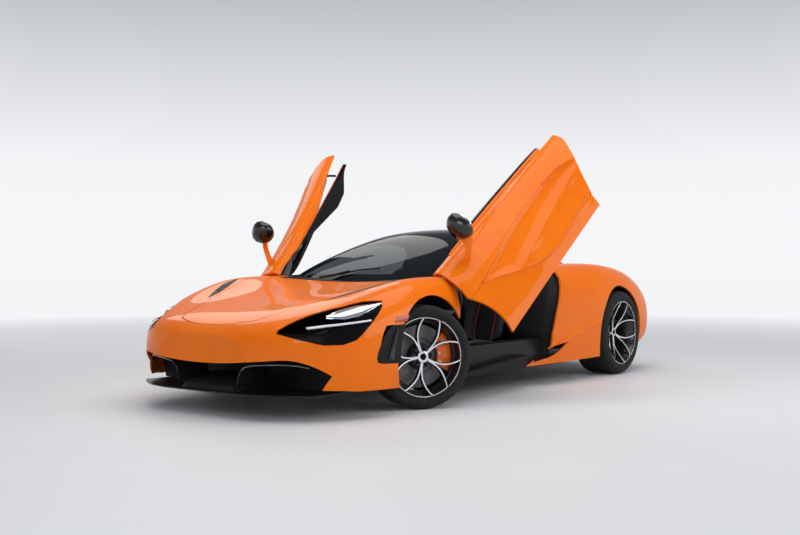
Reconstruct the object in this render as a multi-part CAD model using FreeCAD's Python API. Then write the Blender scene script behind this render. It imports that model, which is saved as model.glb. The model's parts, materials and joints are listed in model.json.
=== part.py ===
import FreeCAD, Part
import math
import os
from FreeCAD import Matrix, Placement, Rotation, Vector

# Mid-engined two-seat supercar with both doors open and the front wheels steered.
# Millimetres. x runs to the car's left, y to its rear, z up.
# Everything is drawn with y = 0 at the front axle, then moved so that the origin is at mid-length.

# Driving dimensions
WHEELBASE = 2670.0
FRONT_AXLE_Y = -1178.0
TRACK_HALF = {"front": 837.0, "rear": 814.5}
TYRE_R = {"front": 327.0, "rear": 345.5}
TYRE_W = {"front": 245.0, "rear": 305.0}
RIM_R = {"front": 254.5, "rear": 267.0}
DISC_R = {"front": 197.0, "rear": 190.0}
STEER_REST = 29.0
KINGPIN_INSET = {"front": 42.0, "rear": 60.0}
ARCH_R = {"front": 385.0, "rear": 392.0}
SKIN = 14.0
BONNET_SKIN = 9.0
GLASS = 4.5
SEAT_GAP = 0.3
PANEL_GAP = 0.8
MOVE_GAP = 6.0
SWING_GAP = 10.0
EDGE_Z = 625.0
PIN_GAP = 0.3
DOOR_OPEN_DEG = 55.1
HINGE_POINT = Vector(625, 400, 837)
HINGE_AXIS = Vector(-1.179, 1.0, 0.877)
DOOR_ARC_R = 391.0
FLOOR_Z = 150.0
FLOOR_T = 16.0
UNDERCUT = 80.0

# Lower body sections. Columns: distance behind the front axle, then (x, z) of the
# keel, sill, crease, waist, shoulder, crest, valley and inner lines, then z on the centre line.
BODY = [
    (-1090, ((330, 190), (360, 230), (370, 300), (370, 370), (350, 430), (300, 470), (200, 485), (100, 490)), 490),
    (-1062, ((430, 180), (480, 225), (500, 300), (500, 380), (480, 450), (400, 500), (270, 515), (130, 522)), 524),
    (-1000, ((560, 172), (605, 215), (618, 300), (618, 390), (604, 470), (530, 535), (370, 555), (190, 560)), 560),
    (-880, ((730, 168), (770, 210), (783, 300), (782, 400), (763, 500), (678, 575), (490, 595), (250, 600)), 600),
    (-700, ((870, 166), (893, 210), (902, 300), (896, 420), (862, 550), (765, 640), (560, 648), (280, 642)), 640),
    (-500, ((930, 165), (945, 210), (950, 310), (948, 440), (920, 590), (820, 715), (600, 705), (300, 682)), 674),
    (-300, ((945, 165), (958, 210), (962, 320), (962, 470), (945, 640), (835, 790), (610, 752), (300, 715)), 702),
    (-100, ((945, 160), (958, 210), (964, 330), (966, 500), (952, 690), (838, 838), (610, 782), (300, 742)), 727),
    (100, ((935, 160), (948, 210), (954, 330), (956, 500), (945, 700), (835, 850), (610, 800), (300, 766)), 752),
    (300, ((905, 160), (920, 210), (930, 330), (930, 500), (925, 680), (830, 848), (640, 812), (320, 788)), 777),
    (600, ((878, 160), (900, 210), (915, 340), (895, 500), (880, 660), (800, 845), (640, 838), (320, 828)), 820),
    (1000, ((868, 160), (892, 210), (915, 350), (878, 520), (860, 680), (788, 850), (640, 858), (320, 868)), 868),
    (1400, ((868, 160), (892, 210), (920, 360), (888, 530), (868, 700), (792, 864), (620, 872), (320, 886)), 890),
    (1800, ((885, 160), (905, 215), (935, 360), (925, 530), (904, 712), (802, 890), (600, 895), (300, 905)), 910),
    (2100, ((915, 165), (932, 220), (950, 350), (955, 520), (940, 710), (800, 912), (590, 915), (290, 922)), 925),
    (2400, ((930, 170), (948, 230), (962, 350), (970, 520), (962, 720), (815, 928), (590, 925), (290, 928)), 930),
    (2700, ((930, 190), (948, 250), (962, 360), (970, 520), (962, 715), (810, 922), (590, 920), (290, 922)), 922),
    (3000, ((915, 220), (935, 270), (950, 370), (955, 520), (940, 690), (790, 890), (590, 900), (290, 900)), 898),
    (3250, ((880, 260), (905, 300), (920, 390), (920, 520), (895, 660), (760, 835), (570, 855), (280, 862)), 862),
    (3400, ((820, 300), (850, 335), (862, 410), (862, 510), (840, 620), (720, 775), (540, 800), (270, 812)), 814),
    (3449, ((740, 340), (770, 370), (780, 430), (780, 505), (760, 590), (660, 720), (500, 745), (250, 755)), 757),
]

# Cabin canopy sections. Columns: distance behind the front axle, then (x, z) of the
# base, belt, pillar, cant, roof and inner lines, then z on the centre line.
CANOPY = [
    (270, ((700, 640), (680, 690), (620, 715), (500, 722), (340, 726), (170, 728)), 728),
    (450, ((760, 740), (735, 800), (680, 838), (550, 852), (360, 858), (180, 860)), 860),
    (700, ((765, 760), (738, 850), (648, 945), (520, 978), (350, 990), (170, 994)), 995),
    (950, ((755, 770), (725, 870), (618, 1012), (500, 1068), (340, 1090), (170, 1100)), 1101),
    (1200, ((745, 780), (712, 880), (600, 1052), (480, 1132), (330, 1162), (160, 1172)), 1175),
    (1500, ((738, 780), (704, 885), (592, 1070), (475, 1155), (320, 1188), (160, 1198)), 1200),
    (1800, ((730, 780), (698, 885), (590, 1055), (470, 1140), (310, 1175), (155, 1186)), 1188),
    (2100, ((705, 780), (672, 880), (565, 1010), (440, 1080), (290, 1110), (145, 1120)), 1122),
    (2450, ((640, 780), (610, 860), (500, 950), (380, 1000), (250, 1020), (125, 1028)), 1030),
    (2800, ((540, 770), (510, 820), (420, 880), (320, 905), (210, 918), (100, 922)), 923),
    (3050, ((470, 720), (440, 770), (360, 820), (280, 838), (190, 846), (95, 850)), 850),
]


def offset_section(points, centre_z, inset):
    """Whole section from right to left keel, moved inwards in its own plane."""
    half = list(points) + [(0.0, centre_z)]
    whole = half + [(-x, z) for x, z in reversed(half[:-1])]
    out = []
    for i, (x, z) in enumerate(whole):
        before = whole[max(i - 1, 0)]
        after = whole[min(i + 1, len(whole) - 1)]
        along_x = after[0] - before[0]
        along_z = after[1] - before[1]
        length = math.hypot(along_x, along_z)
        out.append((x - along_z / length * inset, z + along_x / length * inset))
    if inset:
        # an inner surface runs on below the body, so that a panel is open at its lower edge
        out[0] = (out[0][0], out[0][1] - UNDERCUT)
        out[-1] = (out[-1][0], out[-1][1] - UNDERCUT)
    return out


def extended(rows):
    """Add one mirrored row at each end, so that a uniform cubic surface starts on the first row."""
    first = [a * 2 - b for a, b in zip(rows[0], rows[1])]
    last = [a * 2 - b for a, b in zip(rows[-1], rows[-2])]
    return [first] + rows + [last]


def smooth_solid(stations, inset, end_inset=0.0):
    """Closed solid under one smooth surface that runs through the stations."""
    count = len(stations)
    rows = []
    for i, (y, points, centre_z) in enumerate(stations):
        shift = end_inset * (max(0.0, 1 - i / 4.0) - max(0.0, 1 - (count - 1 - i) / 2.0))
        rows.append([Vector(x, y + shift, z) for x, z in offset_section(points, centre_z, inset)])
    rows = extended(rows)
    columns = extended([list(column) for column in zip(*rows)])
    grid = [list(row) for row in zip(*columns)]
    across, along = len(grid), len(grid[0])
    surface = Part.BSplineSurface()
    surface.buildFromPolesMultsKnots(grid, [1] * (across + 4), [1] * (along + 4), list(range(across + 4)),
                                     list(range(along + 4)), False, False, 3, 3)
    surface.segment(3, across, 3, along)
    u0, u1, v0, v1 = surface.bounds()
    front, rear = surface.uIso(u0).toShape(), surface.uIso(u1).toShape()
    left, right = surface.vIso(v0).toShape(), surface.vIso(v1).toShape()
    front_cap = Part.Face(Part.Wire([front, Part.makeLine(surface.value(u0, v0), surface.value(u0, v1))]))
    rear_cap = Part.Face(Part.Wire([rear, Part.makeLine(surface.value(u1, v0), surface.value(u1, v1))]))
    shell = Part.makeShell([surface.toShape(), front_cap, rear_cap, Part.makeRuledSurface(left, right)])
    shell.sewShape()
    return Part.Solid(shell)


def wire(items, place):
    """Closed wire of lines and three-point arcs; an item with a third entry is an arc's middle."""
    points = [(place(item[0], item[1]), len(item) > 2) for item in items]
    points.append(points[0])
    edges = []
    i = 0
    while i < len(points) - 1:
        if points[i + 1][1]:
            edges.append(Part.Arc(points[i][0], points[i + 1][0], points[i + 2][0]).toShape())
            i += 2
        else:
            edges.append(Part.makeLine(points[i][0], points[i + 1][0]))
            i += 1
    return Part.Wire(edges)


def side_prism(items, x0, x1):
    """Outline in side view, as (y, z), run from x0 to x1."""
    return Part.Face(wire(items, lambda y, z: Vector(x0, y, z))).extrude(Vector(x1 - x0, 0, 0))


def plan_prism(items, z0, z1):
    """Outline from above, as (x, y), run from z0 to z1."""
    return Part.Face(wire(items, lambda x, y: Vector(x, y, z0))).extrude(Vector(0, 0, z1 - z0))


def front_prism(items, y0, y1):
    """Outline from the front, as (x, z), run from y0 to y1."""
    return Part.Face(wire(items, lambda x, z: Vector(x, y0, z))).extrude(Vector(0, y1 - y0, 0))


def box(x0, x1, y0, y1, z0, z1):
    return Part.makeBox(x1 - x0, y1 - y0, z1 - z0, Vector(x0, y0, z0))


def rod(a, b, radius, bore=0.0):
    """Round bar or tube between two points."""
    axis = b - a
    bar = Part.makeCylinder(radius, axis.Length, a, axis)
    if bore:
        bar = bar.cut(Part.makeCylinder(bore, axis.Length, a, axis))
    return bar


def beam(points, width, height):
    """Fused straight bars with square ends and round joints, for arms and brackets."""
    out = None
    for a, b in zip(points[:-1], points[1:]):
        axis = b - a
        bar = Part.makeBox(axis.Length, width, height, Vector(0, -width / 2, -height / 2))
        bar.Placement = Placement(a, Rotation(Vector(1, 0, 0), axis))
        out = bar if out is None else out.fuse(bar)
    for point in points[1:-1]:
        out = out.fuse(Part.makeSphere(min(width, height) / 2, point))
    return out


def mirrored(shape):
    return shape.mirror(Vector(0, 0, 0), Vector(1, 0, 0))


def both(shape):
    """A left piece and its mirror image on the right."""
    return Part.makeCompound([shape, mirrored(shape)])


def fused(shapes):
    out = shapes[0]
    if len(shapes) > 1:
        out = out.fuse(shapes[1:])
    return out.removeSplitter()


def skin(region, inner, outer):
    return outer.common(region).cut(inner)


def largest(shape):
    """The biggest solid of a cut shape, without slivers left beyond a shut line."""
    return max(shape.Solids, key=lambda solid: solid.Volume)


BODY_OUT = smooth_solid(BODY, 0.0)
BODY_IN = smooth_solid(BODY, SKIN, SKIN)
BODY_SEAT = smooth_solid(BODY, SKIN + SEAT_GAP, SKIN + SEAT_GAP)
BODY_FLANGE = smooth_solid(BODY, SKIN + 14.0, SKIN + 14.0)
BONNET_IN = smooth_solid(BODY, BONNET_SKIN, BONNET_SKIN)
CANOPY_OUT = smooth_solid(CANOPY, 0.0)
CANOPY_GLASS = smooth_solid(CANOPY, GLASS)
CANOPY_FRAME = smooth_solid(CANOPY, 24.0)

# Shut lines in side view (y, z), from bottom to top
BUMPER_LINE = [(-345, 100), (-335, 190), (-330, 510), (-425, 700), (-425, 1000)]
DOOR_FRONT = [(319, 553), (336, 625), (342, 700), (350, 770), (360, 850), (366, 1000)]
DOOR_REAR = [(1545, 300), (1556, 380), (1650, 560), (1735, 705), (1795, 800), (1840, 960)]
TAIL_LINE = 3330.0


# Mouth in the nose from the front (x, z), and the vent ahead of each front wheel from the side (y, z)
INTAKE = [(-815, 262), (-720, 330, 1), (-560, 352), (-380, 338), (0, 318, 1), (380, 338), (560, 352), (720, 330, 1),
          (815, 262), (770, 190, 1), (700, 100), (-700, 100), (-770, 190, 1)]
CORNER_VENT = [(-460, 540), (-515, 450, 1), (-528, 375), (-500, 328), (-405, 312), (-392, 330), (-372, 440, 1),
               (-400, 545)]
HEADLAMP = [(-995, 520), (-862, 600, 1), (-640, 662), (-530, 692, 1), (-424, 690), (-443, 640), (-560, 540, 1),
            (-700, 462), (-775, 436, 1), (-868, 447), (-960, 475)]
LAMP_X = [(-995, 545), (-424, 870)]
LAMP_AIM = Vector(0.66, -0.62, 0.42)
# Lower side intake from the side, and the half outline of the engine deck from above
SIDE_SLOT = [(1330, 186), (1352, 226), (1560, 288, 1), (1790, 322), (1700, 262, 1), (1520, 206)]
DECK_HALF = [(0, 2000), (600, 2000), (590, 2500, 1), (560, 2950), (540, 3200), (0, 3200)]

# Hinge line of the bonnet, and the middle of each hinge eye
LID_HINGE_Y = 225.0
LID_HINGE_Z = 786.0
LID_PIN_R = 5.0
LID_EYE_R = 10.0
LID_REAR_GAP = 18.0
HINGE_X = 600.0


def bonnet_outline(grow, rear=None):
    """Bonnet from above; grow moves its edge outwards, and rear its rear edge if that differs."""
    g = grow
    r = grow if rear is None else rear
    return [(0, -1022 - g), (190 + g / 2, -1002 - g, 1), (330 + g, -945 - g), (452 + g, -650, 1), (560 + g, -350),
            (640 + g, -170, 1), (690 + g, 30 + g), (650 + g, 230 + r), (470, 292 + r), (250, 312 + r, 1), (0, 318 + r),
            (-250, 312 + r, 1), (-470, 292 + r), (-650 - g, 230 + r), (-690 - g, 30 + g), (-640 - g, -170, 1),
            (-560 - g, -350), (-452 - g, -650, 1), (-330 - g, -945 - g), (-190 - g / 2, -1002 - g, 1)]


def wheel_cylinder(end, radius, x0, x1):
    y = 0.0 if end == "front" else WHEELBASE
    return Part.makeCylinder(radius, x1 - x0, Vector(x0, y, TYRE_R[end]), Vector(1, 0, 0))


parts = {}


def front_bumper():
    region = side_prism([(-1200, 100)] + BUMPER_LINE + [(-1200, 1000)], -1100, 1100)
    shell = skin(region, BODY_IN, BODY_OUT)
    shell = shell.cut(plan_prism(bonnet_outline(MOVE_GAP, LID_REAR_GAP), 450, 1000))
    shell = shell.cut(Part.makeCompound([wheel_cylinder("front", ARCH_R["front"], 500, 1100),
                                         wheel_cylinder("front", ARCH_R["front"], -1100, -500)]))
    intake = front_prism(INTAKE, -1200, -640)
    shell = shell.cut(intake)
    for cutter in (headlamp_prism(0.0), side_prism(CORNER_VENT, 700, 1100)):
        shell = shell.cut(both(cutter))
    return largest(shell)


def headlamp_prism(grow, depth_in=170.0, depth_out=160.0):
    """The lamp opening runs along the lamp's aim; its outline is given in side view."""
    centre_y = sum(item[0] for item in HEADLAMP) / len(HEADLAMP)
    centre_z = sum(item[1] for item in HEADLAMP) / len(HEADLAMP)

    def place(y, z):
        dy, dz = y - centre_y, z - centre_z
        reach = math.hypot(dy, dz)
        y += dy / reach * grow
        z += dz / reach * grow
        share = (y - LAMP_X[0][0]) / (LAMP_X[1][0] - LAMP_X[0][0])
        x = LAMP_X[0][1] + share * (LAMP_X[1][1] - LAMP_X[0][1])
        return Vector(x, y, z) - LAMP_AIM * depth_in
    face = Part.Face(wire(HEADLAMP, place))
    return face.extrude(LAMP_AIM * (depth_in + depth_out))


def headlamp_bowls():
    outer = headlamp_prism(7.0)
    deep = smooth_solid(BODY, 110.0, 110.0)
    floor = smooth_solid(BODY, 96.0, 96.0)
    bowl = BODY_SEAT.common(outer).cut(deep)
    hollow = headlamp_prism(0.0).cut(floor)
    return both(largest(bowl.cut(hollow)))


def front_fenders():
    ahead = [(y + PANEL_GAP, z) for y, z in BUMPER_LINE]
    behind = [(y - (SWING_GAP if z > EDGE_Z else MOVE_GAP), z) for y, z in DOOR_FRONT]
    tip = (behind[0][0] + 30, 300)
    region = side_prism(ahead + list(reversed(behind)) + [tip, (0, 100)], 300, 1100)
    panel = skin(region, BODY_IN, BODY_OUT)
    panel = panel.cut(plan_prism(bonnet_outline(MOVE_GAP, LID_REAR_GAP), 450, 1000))
    panel = panel.cut(wheel_cylinder("front", ARCH_R["front"], 500, 1100))
    panel = panel.cut(headlamp_prism(PANEL_GAP))
    panel = panel.cut(box(0, 640, 200, 700, 600, 1000))
    return both(largest(panel))


def bonnet():
    region = plan_prism(bonnet_outline(0.0), 450, 1000)
    lid = skin(region, BONNET_IN, BODY_OUT)
    horns = []
    for x in (-HINGE_X, HINGE_X):
        axle = Vector(x - 8, LID_HINGE_Y, LID_HINGE_Z), Vector(x + 8, LID_HINGE_Y, LID_HINGE_Z)
        horns.append(rod(*axle, LID_EYE_R))
        horns.append(box(x - 8, x + 8, LID_HINGE_Y - 8, LID_HINGE_Y + 8, LID_HINGE_Z, 900))
    horns = fused(horns).common(BODY_OUT)
    bore = rod(Vector(-700, LID_HINGE_Y, LID_HINGE_Z), Vector(700, LID_HINGE_Y, LID_HINGE_Z), LID_PIN_R + PIN_GAP)
    return largest(lid.fuse(horns.cut(bore)))


WING_T = 26.0
WING = [(0, 3208), (535, 3208), (640, 3230, 1), (700, 3300), (690, 3500), (0, 3500)]
WING_ROOM = fused(both(plan_prism([(0, 3203), (540, 3203), (645, 3225, 1), (706, 3296), (706, 3550), (0, 3550)],
                                  640, 1000)).Solids)
TAIL_MOUTH = [(-600, 470), (0, 440, 1), (600, 470), (690, 540, 1), (640, 620), (0, 668, 1), (-640, 620),
              (-690, 540, 1)]


def rear_quarters():
    region = side_prism([(1251, 166), (1545, 290)] + [(y + MOVE_GAP, z) for y, z in DOOR_REAR]
                        + [(TAIL_LINE, 1000), (TAIL_LINE, 100), (1251, 100)], 500, 1100)
    panel = skin(region, BODY_IN, BODY_OUT)
    panel = panel.cut(wheel_cylinder("rear", ARCH_R["rear"], 500, 1100))
    panel = panel.cut(plan_prism(DECK_HALF, 700, 1000))
    panel = panel.cut(side_prism(SIDE_SLOT, 700, 1100)).cut(WING_ROOM)
    panel = panel.cut(CANOPY_OUT)
    return both(largest(panel))


# Doors, drawn closed and on the left, then turned about the hinge to the open pose
DOOR_SKIN = 18.0
# The door's leading edge swings up over the fender, so its inner side is set back above EDGE_Z
EDGE_LIP = 5.0
EDGE_DEPTH = 30.0
DOOR_INNER_X = 775.0
DOOR_ROOF_X = 320.0
ROOF_GAP = 12.0
WINDOW = [(530, 872), (800, 978), (1100, 1066, 1), (1400, 1092), (1660, 1062, 1), (1775, 985), (1790, 892),
          (1200, 884)]
DOOR_INSET = [(480, 400), (450, 560), (410, 700), (400, 800), (400, 1000), (1730, 1000), (1720, 880), (1650, 700),
              (1575, 560), (1495, 400)]
DOOR_BELT = [(1100, 100), (740, 100), (740, 450), (706, 650), (690, 1000), (668, 1500), (655, 1900), (1100, 1900)]
PILLAR_LINE = [(742, 380), (736, 440), (686, 620), (632, 820), (578, 1020), (530, 1200)]
CHANNEL = [(880, 1000), (880, 862), (1500, 800), (1900, 730), (1900, 1000)]


# Hinge pin and the door's eye, as distances along the hinge axis from the hinge point
HINGE_PIN_R = 12.0
PIN_FROM, PIN_TO = -215.0, -75.0
EYE_FROM, EYE_TO = -205.0, -130.0
HINGE_DIR = Vector(HINGE_AXIS).normalize()


def on_hinge(distance):
    return HINGE_POINT + HINGE_DIR * distance


HINGE_EYE = on_hinge((EYE_FROM + EYE_TO) / 2)


def door_side_outline():
    low, high = math.asin((190 - TYRE_R["front"]) / DOOR_ARC_R), math.asin((553 - TYRE_R["front"]) / DOOR_ARC_R)

    def on_arc(angle):
        return DOOR_ARC_R * math.cos(angle), TYRE_R["front"] + DOOR_ARC_R * math.sin(angle)
    arc = [on_arc(low), on_arc((low + high) / 2) + (1,), on_arc(high)]
    return arc + DOOR_FRONT[1:] + [(1850, 1000)] + list(reversed(DOOR_REAR))


def roof_region(grow):
    """Door's share of the roof and cant rail from above."""
    edge = [(x - grow, y - grow / 2) for x, y in PILLAR_LINE]
    rear = [(DOOR_ROOF_X - grow, 1225 - grow), (DOOR_ROOF_X - grow, 1762 + grow), (560, 1790 + grow)]
    return [(1000, 380 - grow)] + edge + rear + [(1000, 1852 + grow)]


def door_closed():
    outline = side_prism(door_side_outline(), 300, 1100)
    door_in = smooth_solid(BODY, DOOR_SKIN)
    belt = plan_prism(DOOR_BELT, 100, 1000)
    edge = [(y, z) for y, z in DOOR_FRONT if z >= EDGE_Z]
    back_of_edge = side_prism(edge + [(y + EDGE_DEPTH, z) for y, z in reversed(edge)], 600, 1100)
    back_of_edge = back_of_edge.common(smooth_solid(BODY, EDGE_LIP))
    lower = BODY_OUT.common(outline).common(belt).cut(door_in).cut(back_of_edge)
    core = smooth_solid(BODY, 9.0).common(side_prism(DOOR_INSET, DOOR_INNER_X, 1100))
    lower = largest(lower.fuse(core))
    upper = skin(plan_prism(roof_region(0.0), 832, 1300), CANOPY_FRAME, CANOPY_OUT)
    upper = upper.cut(side_prism(WINDOW, 300, 1100))
    channel = side_prism(CHANNEL, 706, 772).cut(CANOPY_OUT)
    door = lower.cut(channel).fuse(upper)
    arm = beam([HINGE_EYE, Vector(765, 365, 695), Vector(830, 470, 640)], 26, 30)
    eye = rod(on_hinge(EYE_FROM), on_hinge(EYE_TO), 21.0)
    door = door.fuse([arm, eye]).cut(rod(on_hinge(PIN_FROM - 60), on_hinge(PIN_TO + 60), HINGE_PIN_R + PIN_GAP))
    return largest(door)


def door_glass_closed():
    pane = side_prism(WINDOW, 300, 1100).common(plan_prism(roof_region(0.0), 700, 1300))
    return largest(skin(pane, CANOPY_GLASS, CANOPY_OUT))


# Mirror shell from its inner end to its outer end: across, reach forwards, half height
MIRROR_RINGS = [(-92, 24, 20), (-78, 44, 40), (-30, 62, 58), (40, 60, 56), (78, 40, 38), (92, 20, 20)]
MIRROR_BACK = 30.0
MIRROR_FOOT = Vector(838, 520, 715)
MIRROR_HEAD = Vector(985, 640, 900)


def mirror_closed():
    """Mirror shell on its arm, on the door's shoulder; its glass faces the rear."""
    rings = []
    for across, front, high in MIRROR_RINGS:
        ring = []
        for i in range(8):
            a = math.radians(45.0 * i)
            reach = front if math.cos(a) < 0 else MIRROR_BACK
            ring.append(Vector(across, reach * math.cos(a), high * math.sin(a)))
        curve = Part.BSplineCurve()
        curve.interpolate(Points=ring, PeriodicFlag=True)
        rings.append(Part.Wire(curve.toShape()))
    head = Part.makeLoft(rings, True)
    head.translate(MIRROR_HEAD)
    arm = beam([MIRROR_FOOT, MIRROR_FOOT + Vector(40, 40, 70), MIRROR_HEAD + Vector(-10, 0, -20)], 18, 46)
    return head.fuse(arm)


def opened(shape):
    out = shape.copy()
    out.rotate(HINGE_POINT, HINGE_DIR, -DOOR_OPEN_DEG)
    return out


# Windscreen, rear screen and rear side window: half outlines from above, and one from the side
SCREEN = [(0, 250), (690, 300), (678, 400), (628, 600), (573, 800), (520, 1000), (478, 1158), (300, 1146, 1),
          (0, 1135)]
REAR_SCREEN = [(0, 1890), (300, 1890), (235, 2600), (0, 2640)]
QUARTER_GLASS = [(1895, 905), (1885, 1030), (2110, 972, 1), (2380, 908)]


def roof_frame():
    region = box(-1000, 1000, 330, 2780, 800, 1300)
    frame = skin(region, CANOPY_FRAME, CANOPY_OUT)
    door_region = plan_prism(roof_region(ROOF_GAP), 700, 1300)
    door_corner = box(645, 800, 1700, 1830, 780, 905)
    frame = frame.cut(both(door_region)).cut(both(door_corner)).cut(both(side_prism(QUARTER_GLASS, 300, 1100)))
    frame = frame.cut(both(plan_prism(SCREEN, 700, 1300))).cut(both(plan_prism(REAR_SCREEN, 700, 1300)))
    return largest(frame)


ROOF = roof_frame()


def windscreen():
    region = both(plan_prism(SCREEN, 700, 1300))
    glass = skin(fused(region.Solids), CANOPY_GLASS, CANOPY_OUT)
    return largest(glass.cut(BODY_OUT))


def rear_glass():
    rear = skin(fused(both(plan_prism(REAR_SCREEN, 700, 1300)).Solids), CANOPY_GLASS, CANOPY_OUT)
    side = skin(side_prism(QUARTER_GLASS, 300, 1100), CANOPY_GLASS, CANOPY_OUT)
    return Part.makeCompound([largest(rear.cut(BODY_OUT)), largest(side.cut(BODY_OUT)),
                              mirrored(largest(side.cut(BODY_OUT)))])


COWL_FRONT_X = 639.0


def cowl():
    region = fused([box(-COWL_FRONT_X, COWL_FRONT_X, 250, 640, 500, 1000), box(-700, 700, 358, 640, 500, 1000)])
    panel = skin(region, BODY_IN, BODY_OUT).cut(CANOPY_OUT)
    return largest(panel.cut(plan_prism(bonnet_outline(MOVE_GAP, LID_REAR_GAP), 450, 1000)).cut(ROOF))


def rear_deck():
    panel = skin(fused(both(plan_prism(DECK_HALF, 700, 1000)).Solids), BODY_IN, BODY_OUT).cut(CANOPY_OUT)
    for i in range(6):
        y = 2960 - i * 34
        for x0, x1 in ((-520, -290), (290, 520)):
            panel = panel.cut(box(x0, x1, y, y + 16, 700, 1000))
    return largest(panel)


def rear_wing():
    region = fused(both(plan_prism(WING, 700, 1000)).Solids)
    wing_in = smooth_solid(BODY, WING_T, 0.0)
    return largest(skin(region, wing_in, BODY_OUT))


def rear_bumper():
    region = side_prism([(TAIL_LINE + PANEL_GAP, 100), (TAIL_LINE + PANEL_GAP, 1000), (3500, 1000), (3500, 100)],
                        -1100, 1100)
    shell = skin(region, BODY_IN, BODY_OUT)
    return largest(shell.cut(WING_ROOM).cut(front_prism(TAIL_MOUTH, 3300, 3500)))


# Wheels, each drawn about its own centre with its axle along x and its face towards +x
SPOKE_PAIRS = 5
RIM_PROFILE = {
    "front": {"flange": 254.5, "well": 222.0, "half": 122.5},
    "rear": {"flange": 267.0, "well": 232.0, "half": 152.5},
}
HUB_R = 62.0
HUB_BORE_R = 24.0
DISC_T = 30.0
HUB_FACE = {"front": 78.0, "rear": 64.0}


def revolve(items):
    """Closed (x, r) outline turned about the axle."""
    face = Part.Face(wire(items, lambda x, r: Vector(x, 0, r)))
    return face.revolve(Vector(0, 0, 0), Vector(1, 0, 0), 360)


def tyre(end):
    r, h = TYRE_R[end], TYRE_W[end] / 2
    seat = RIM_R[end] - 8.0
    bulge = (r + seat) / 2 - 6
    return revolve([(-h + 24, seat), (-h + 10, seat + 14), (-h, bulge, 1), (-h + 16, r - 18), (-h + 26, r - 5, 1),
                    (-h + 46, r), (h - 46, r), (h - 26, r - 5, 1), (h - 16, r - 18), (h, bulge, 1), (h - 10, seat + 14),
                    (h - 24, seat)])


def rim(end):
    size = RIM_PROFILE[end]
    f, w, h = size["flange"], size["well"], size["half"]
    seat = f - 8.0 - SEAT_GAP
    barrel = revolve([(-h + 6, f), (-h + 6, f - 9), (-h + 14, f - 24), (-h + 40, w - 6), (h - 60, w - 6),
                      (h - 36, f - 30), (h - 16, f - 14), (h - 8, f - 12), (h - 6, f), (h - 14, f), (h - 22, seat),
                      (h - 46, seat), (h - 60, w), (-h + 42, w), (-h + 30, seat), (-h + 22, seat), (-h + 14, f)])
    face = HUB_FACE[end]
    dish = revolve([(face - 34, 24), (face, 24), (face, HUB_R), (face + 8, 110), (h - 30, 190, 1),
                    (h - 12, f - 13), (h - 30, f - 22), (h - 52, 190, 1), (face - 22, 100), (face - 34, HUB_R)])
    spokes = None
    for i in range(SPOKE_PAIRS):
        for side in (-1, 1):
            items = [(side * 6, 40), (side * 16, 120, 1), (side * 60, f - 12), (side * 78, f - 14),
                     (side * 34, 118, 1), (side * 30, 40)]
            blade = Part.Face(wire(items, lambda a, b: Vector(0, a, b))).extrude(Vector(200, 0, 0))
            blade.rotate(Vector(0, 0, 0), Vector(1, 0, 0), i * 360.0 / SPOKE_PAIRS)
            spokes = blade if spokes is None else spokes.fuse(blade)
    hub = revolve([(face - 40, HUB_BORE_R), (face - 3, HUB_BORE_R), (face - 3, 0), (face + 3, 0), (face + 3, 30),
                   (face, HUB_R - 6), (face - 6, HUB_R), (face - 40, HUB_R)])
    return barrel.fuse([dish.common(spokes), hub])


def brake_disc(end):
    face = HUB_FACE[end]
    back = face - 40 - SEAT_GAP
    r = DISC_R[end]
    return revolve([(back - 42, HUB_BORE_R + PIN_GAP), (back, HUB_BORE_R + PIN_GAP), (back, 74), (back - 30, 84),
                    (back - 30, 112), (back - 24, 114), (back - 24, r), (back - 24 - DISC_T, r),
                    (back - 24 - DISC_T, 100), (back - 42, 76)])


def disc_middle(end):
    return HUB_FACE[end] - 40 - SEAT_GAP - 24 - DISC_T / 2


def caliper(end, angle):
    """Caliper straddling the disc, at an angle above the rear horizontal."""
    mid = disc_middle(end)
    r = DISC_R[end]
    span = 34.0
    ring = revolve([(mid - 40, r - 76), (mid + 44, r - 76), (mid + 44, r - 10), (mid + 34, r + 14), (mid - 36, r + 14),
                    (mid - 40, r - 10)])
    slot = revolve([(mid - DISC_T / 2 - 5, 40), (mid + DISC_T / 2 + 5, 40), (mid + DISC_T / 2 + 5, r + 5),
                    (mid - DISC_T / 2 - 5, r + 5)])
    a0, a1 = math.radians(angle - span), math.radians(angle + span)
    wedge = [(0, 0), (400 * math.cos(a0), 400 * math.sin(a0)),
             (430 * math.cos(math.radians(angle)), 430 * math.sin(math.radians(angle))),
             (400 * math.cos(a1), 400 * math.sin(a1))]
    return ring.common(side_prism(wedge, -200, 200)).cut(slot)


# Uprights, drawn about the wheel centre on the left side
BALL_UP = {"front": 118.0, "rear": 130.0}
BALL_DOWN = {"front": -128.0, "rear": -138.0}
BALL_R = 11.0
ARM_ROOT_X = 400.0


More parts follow.
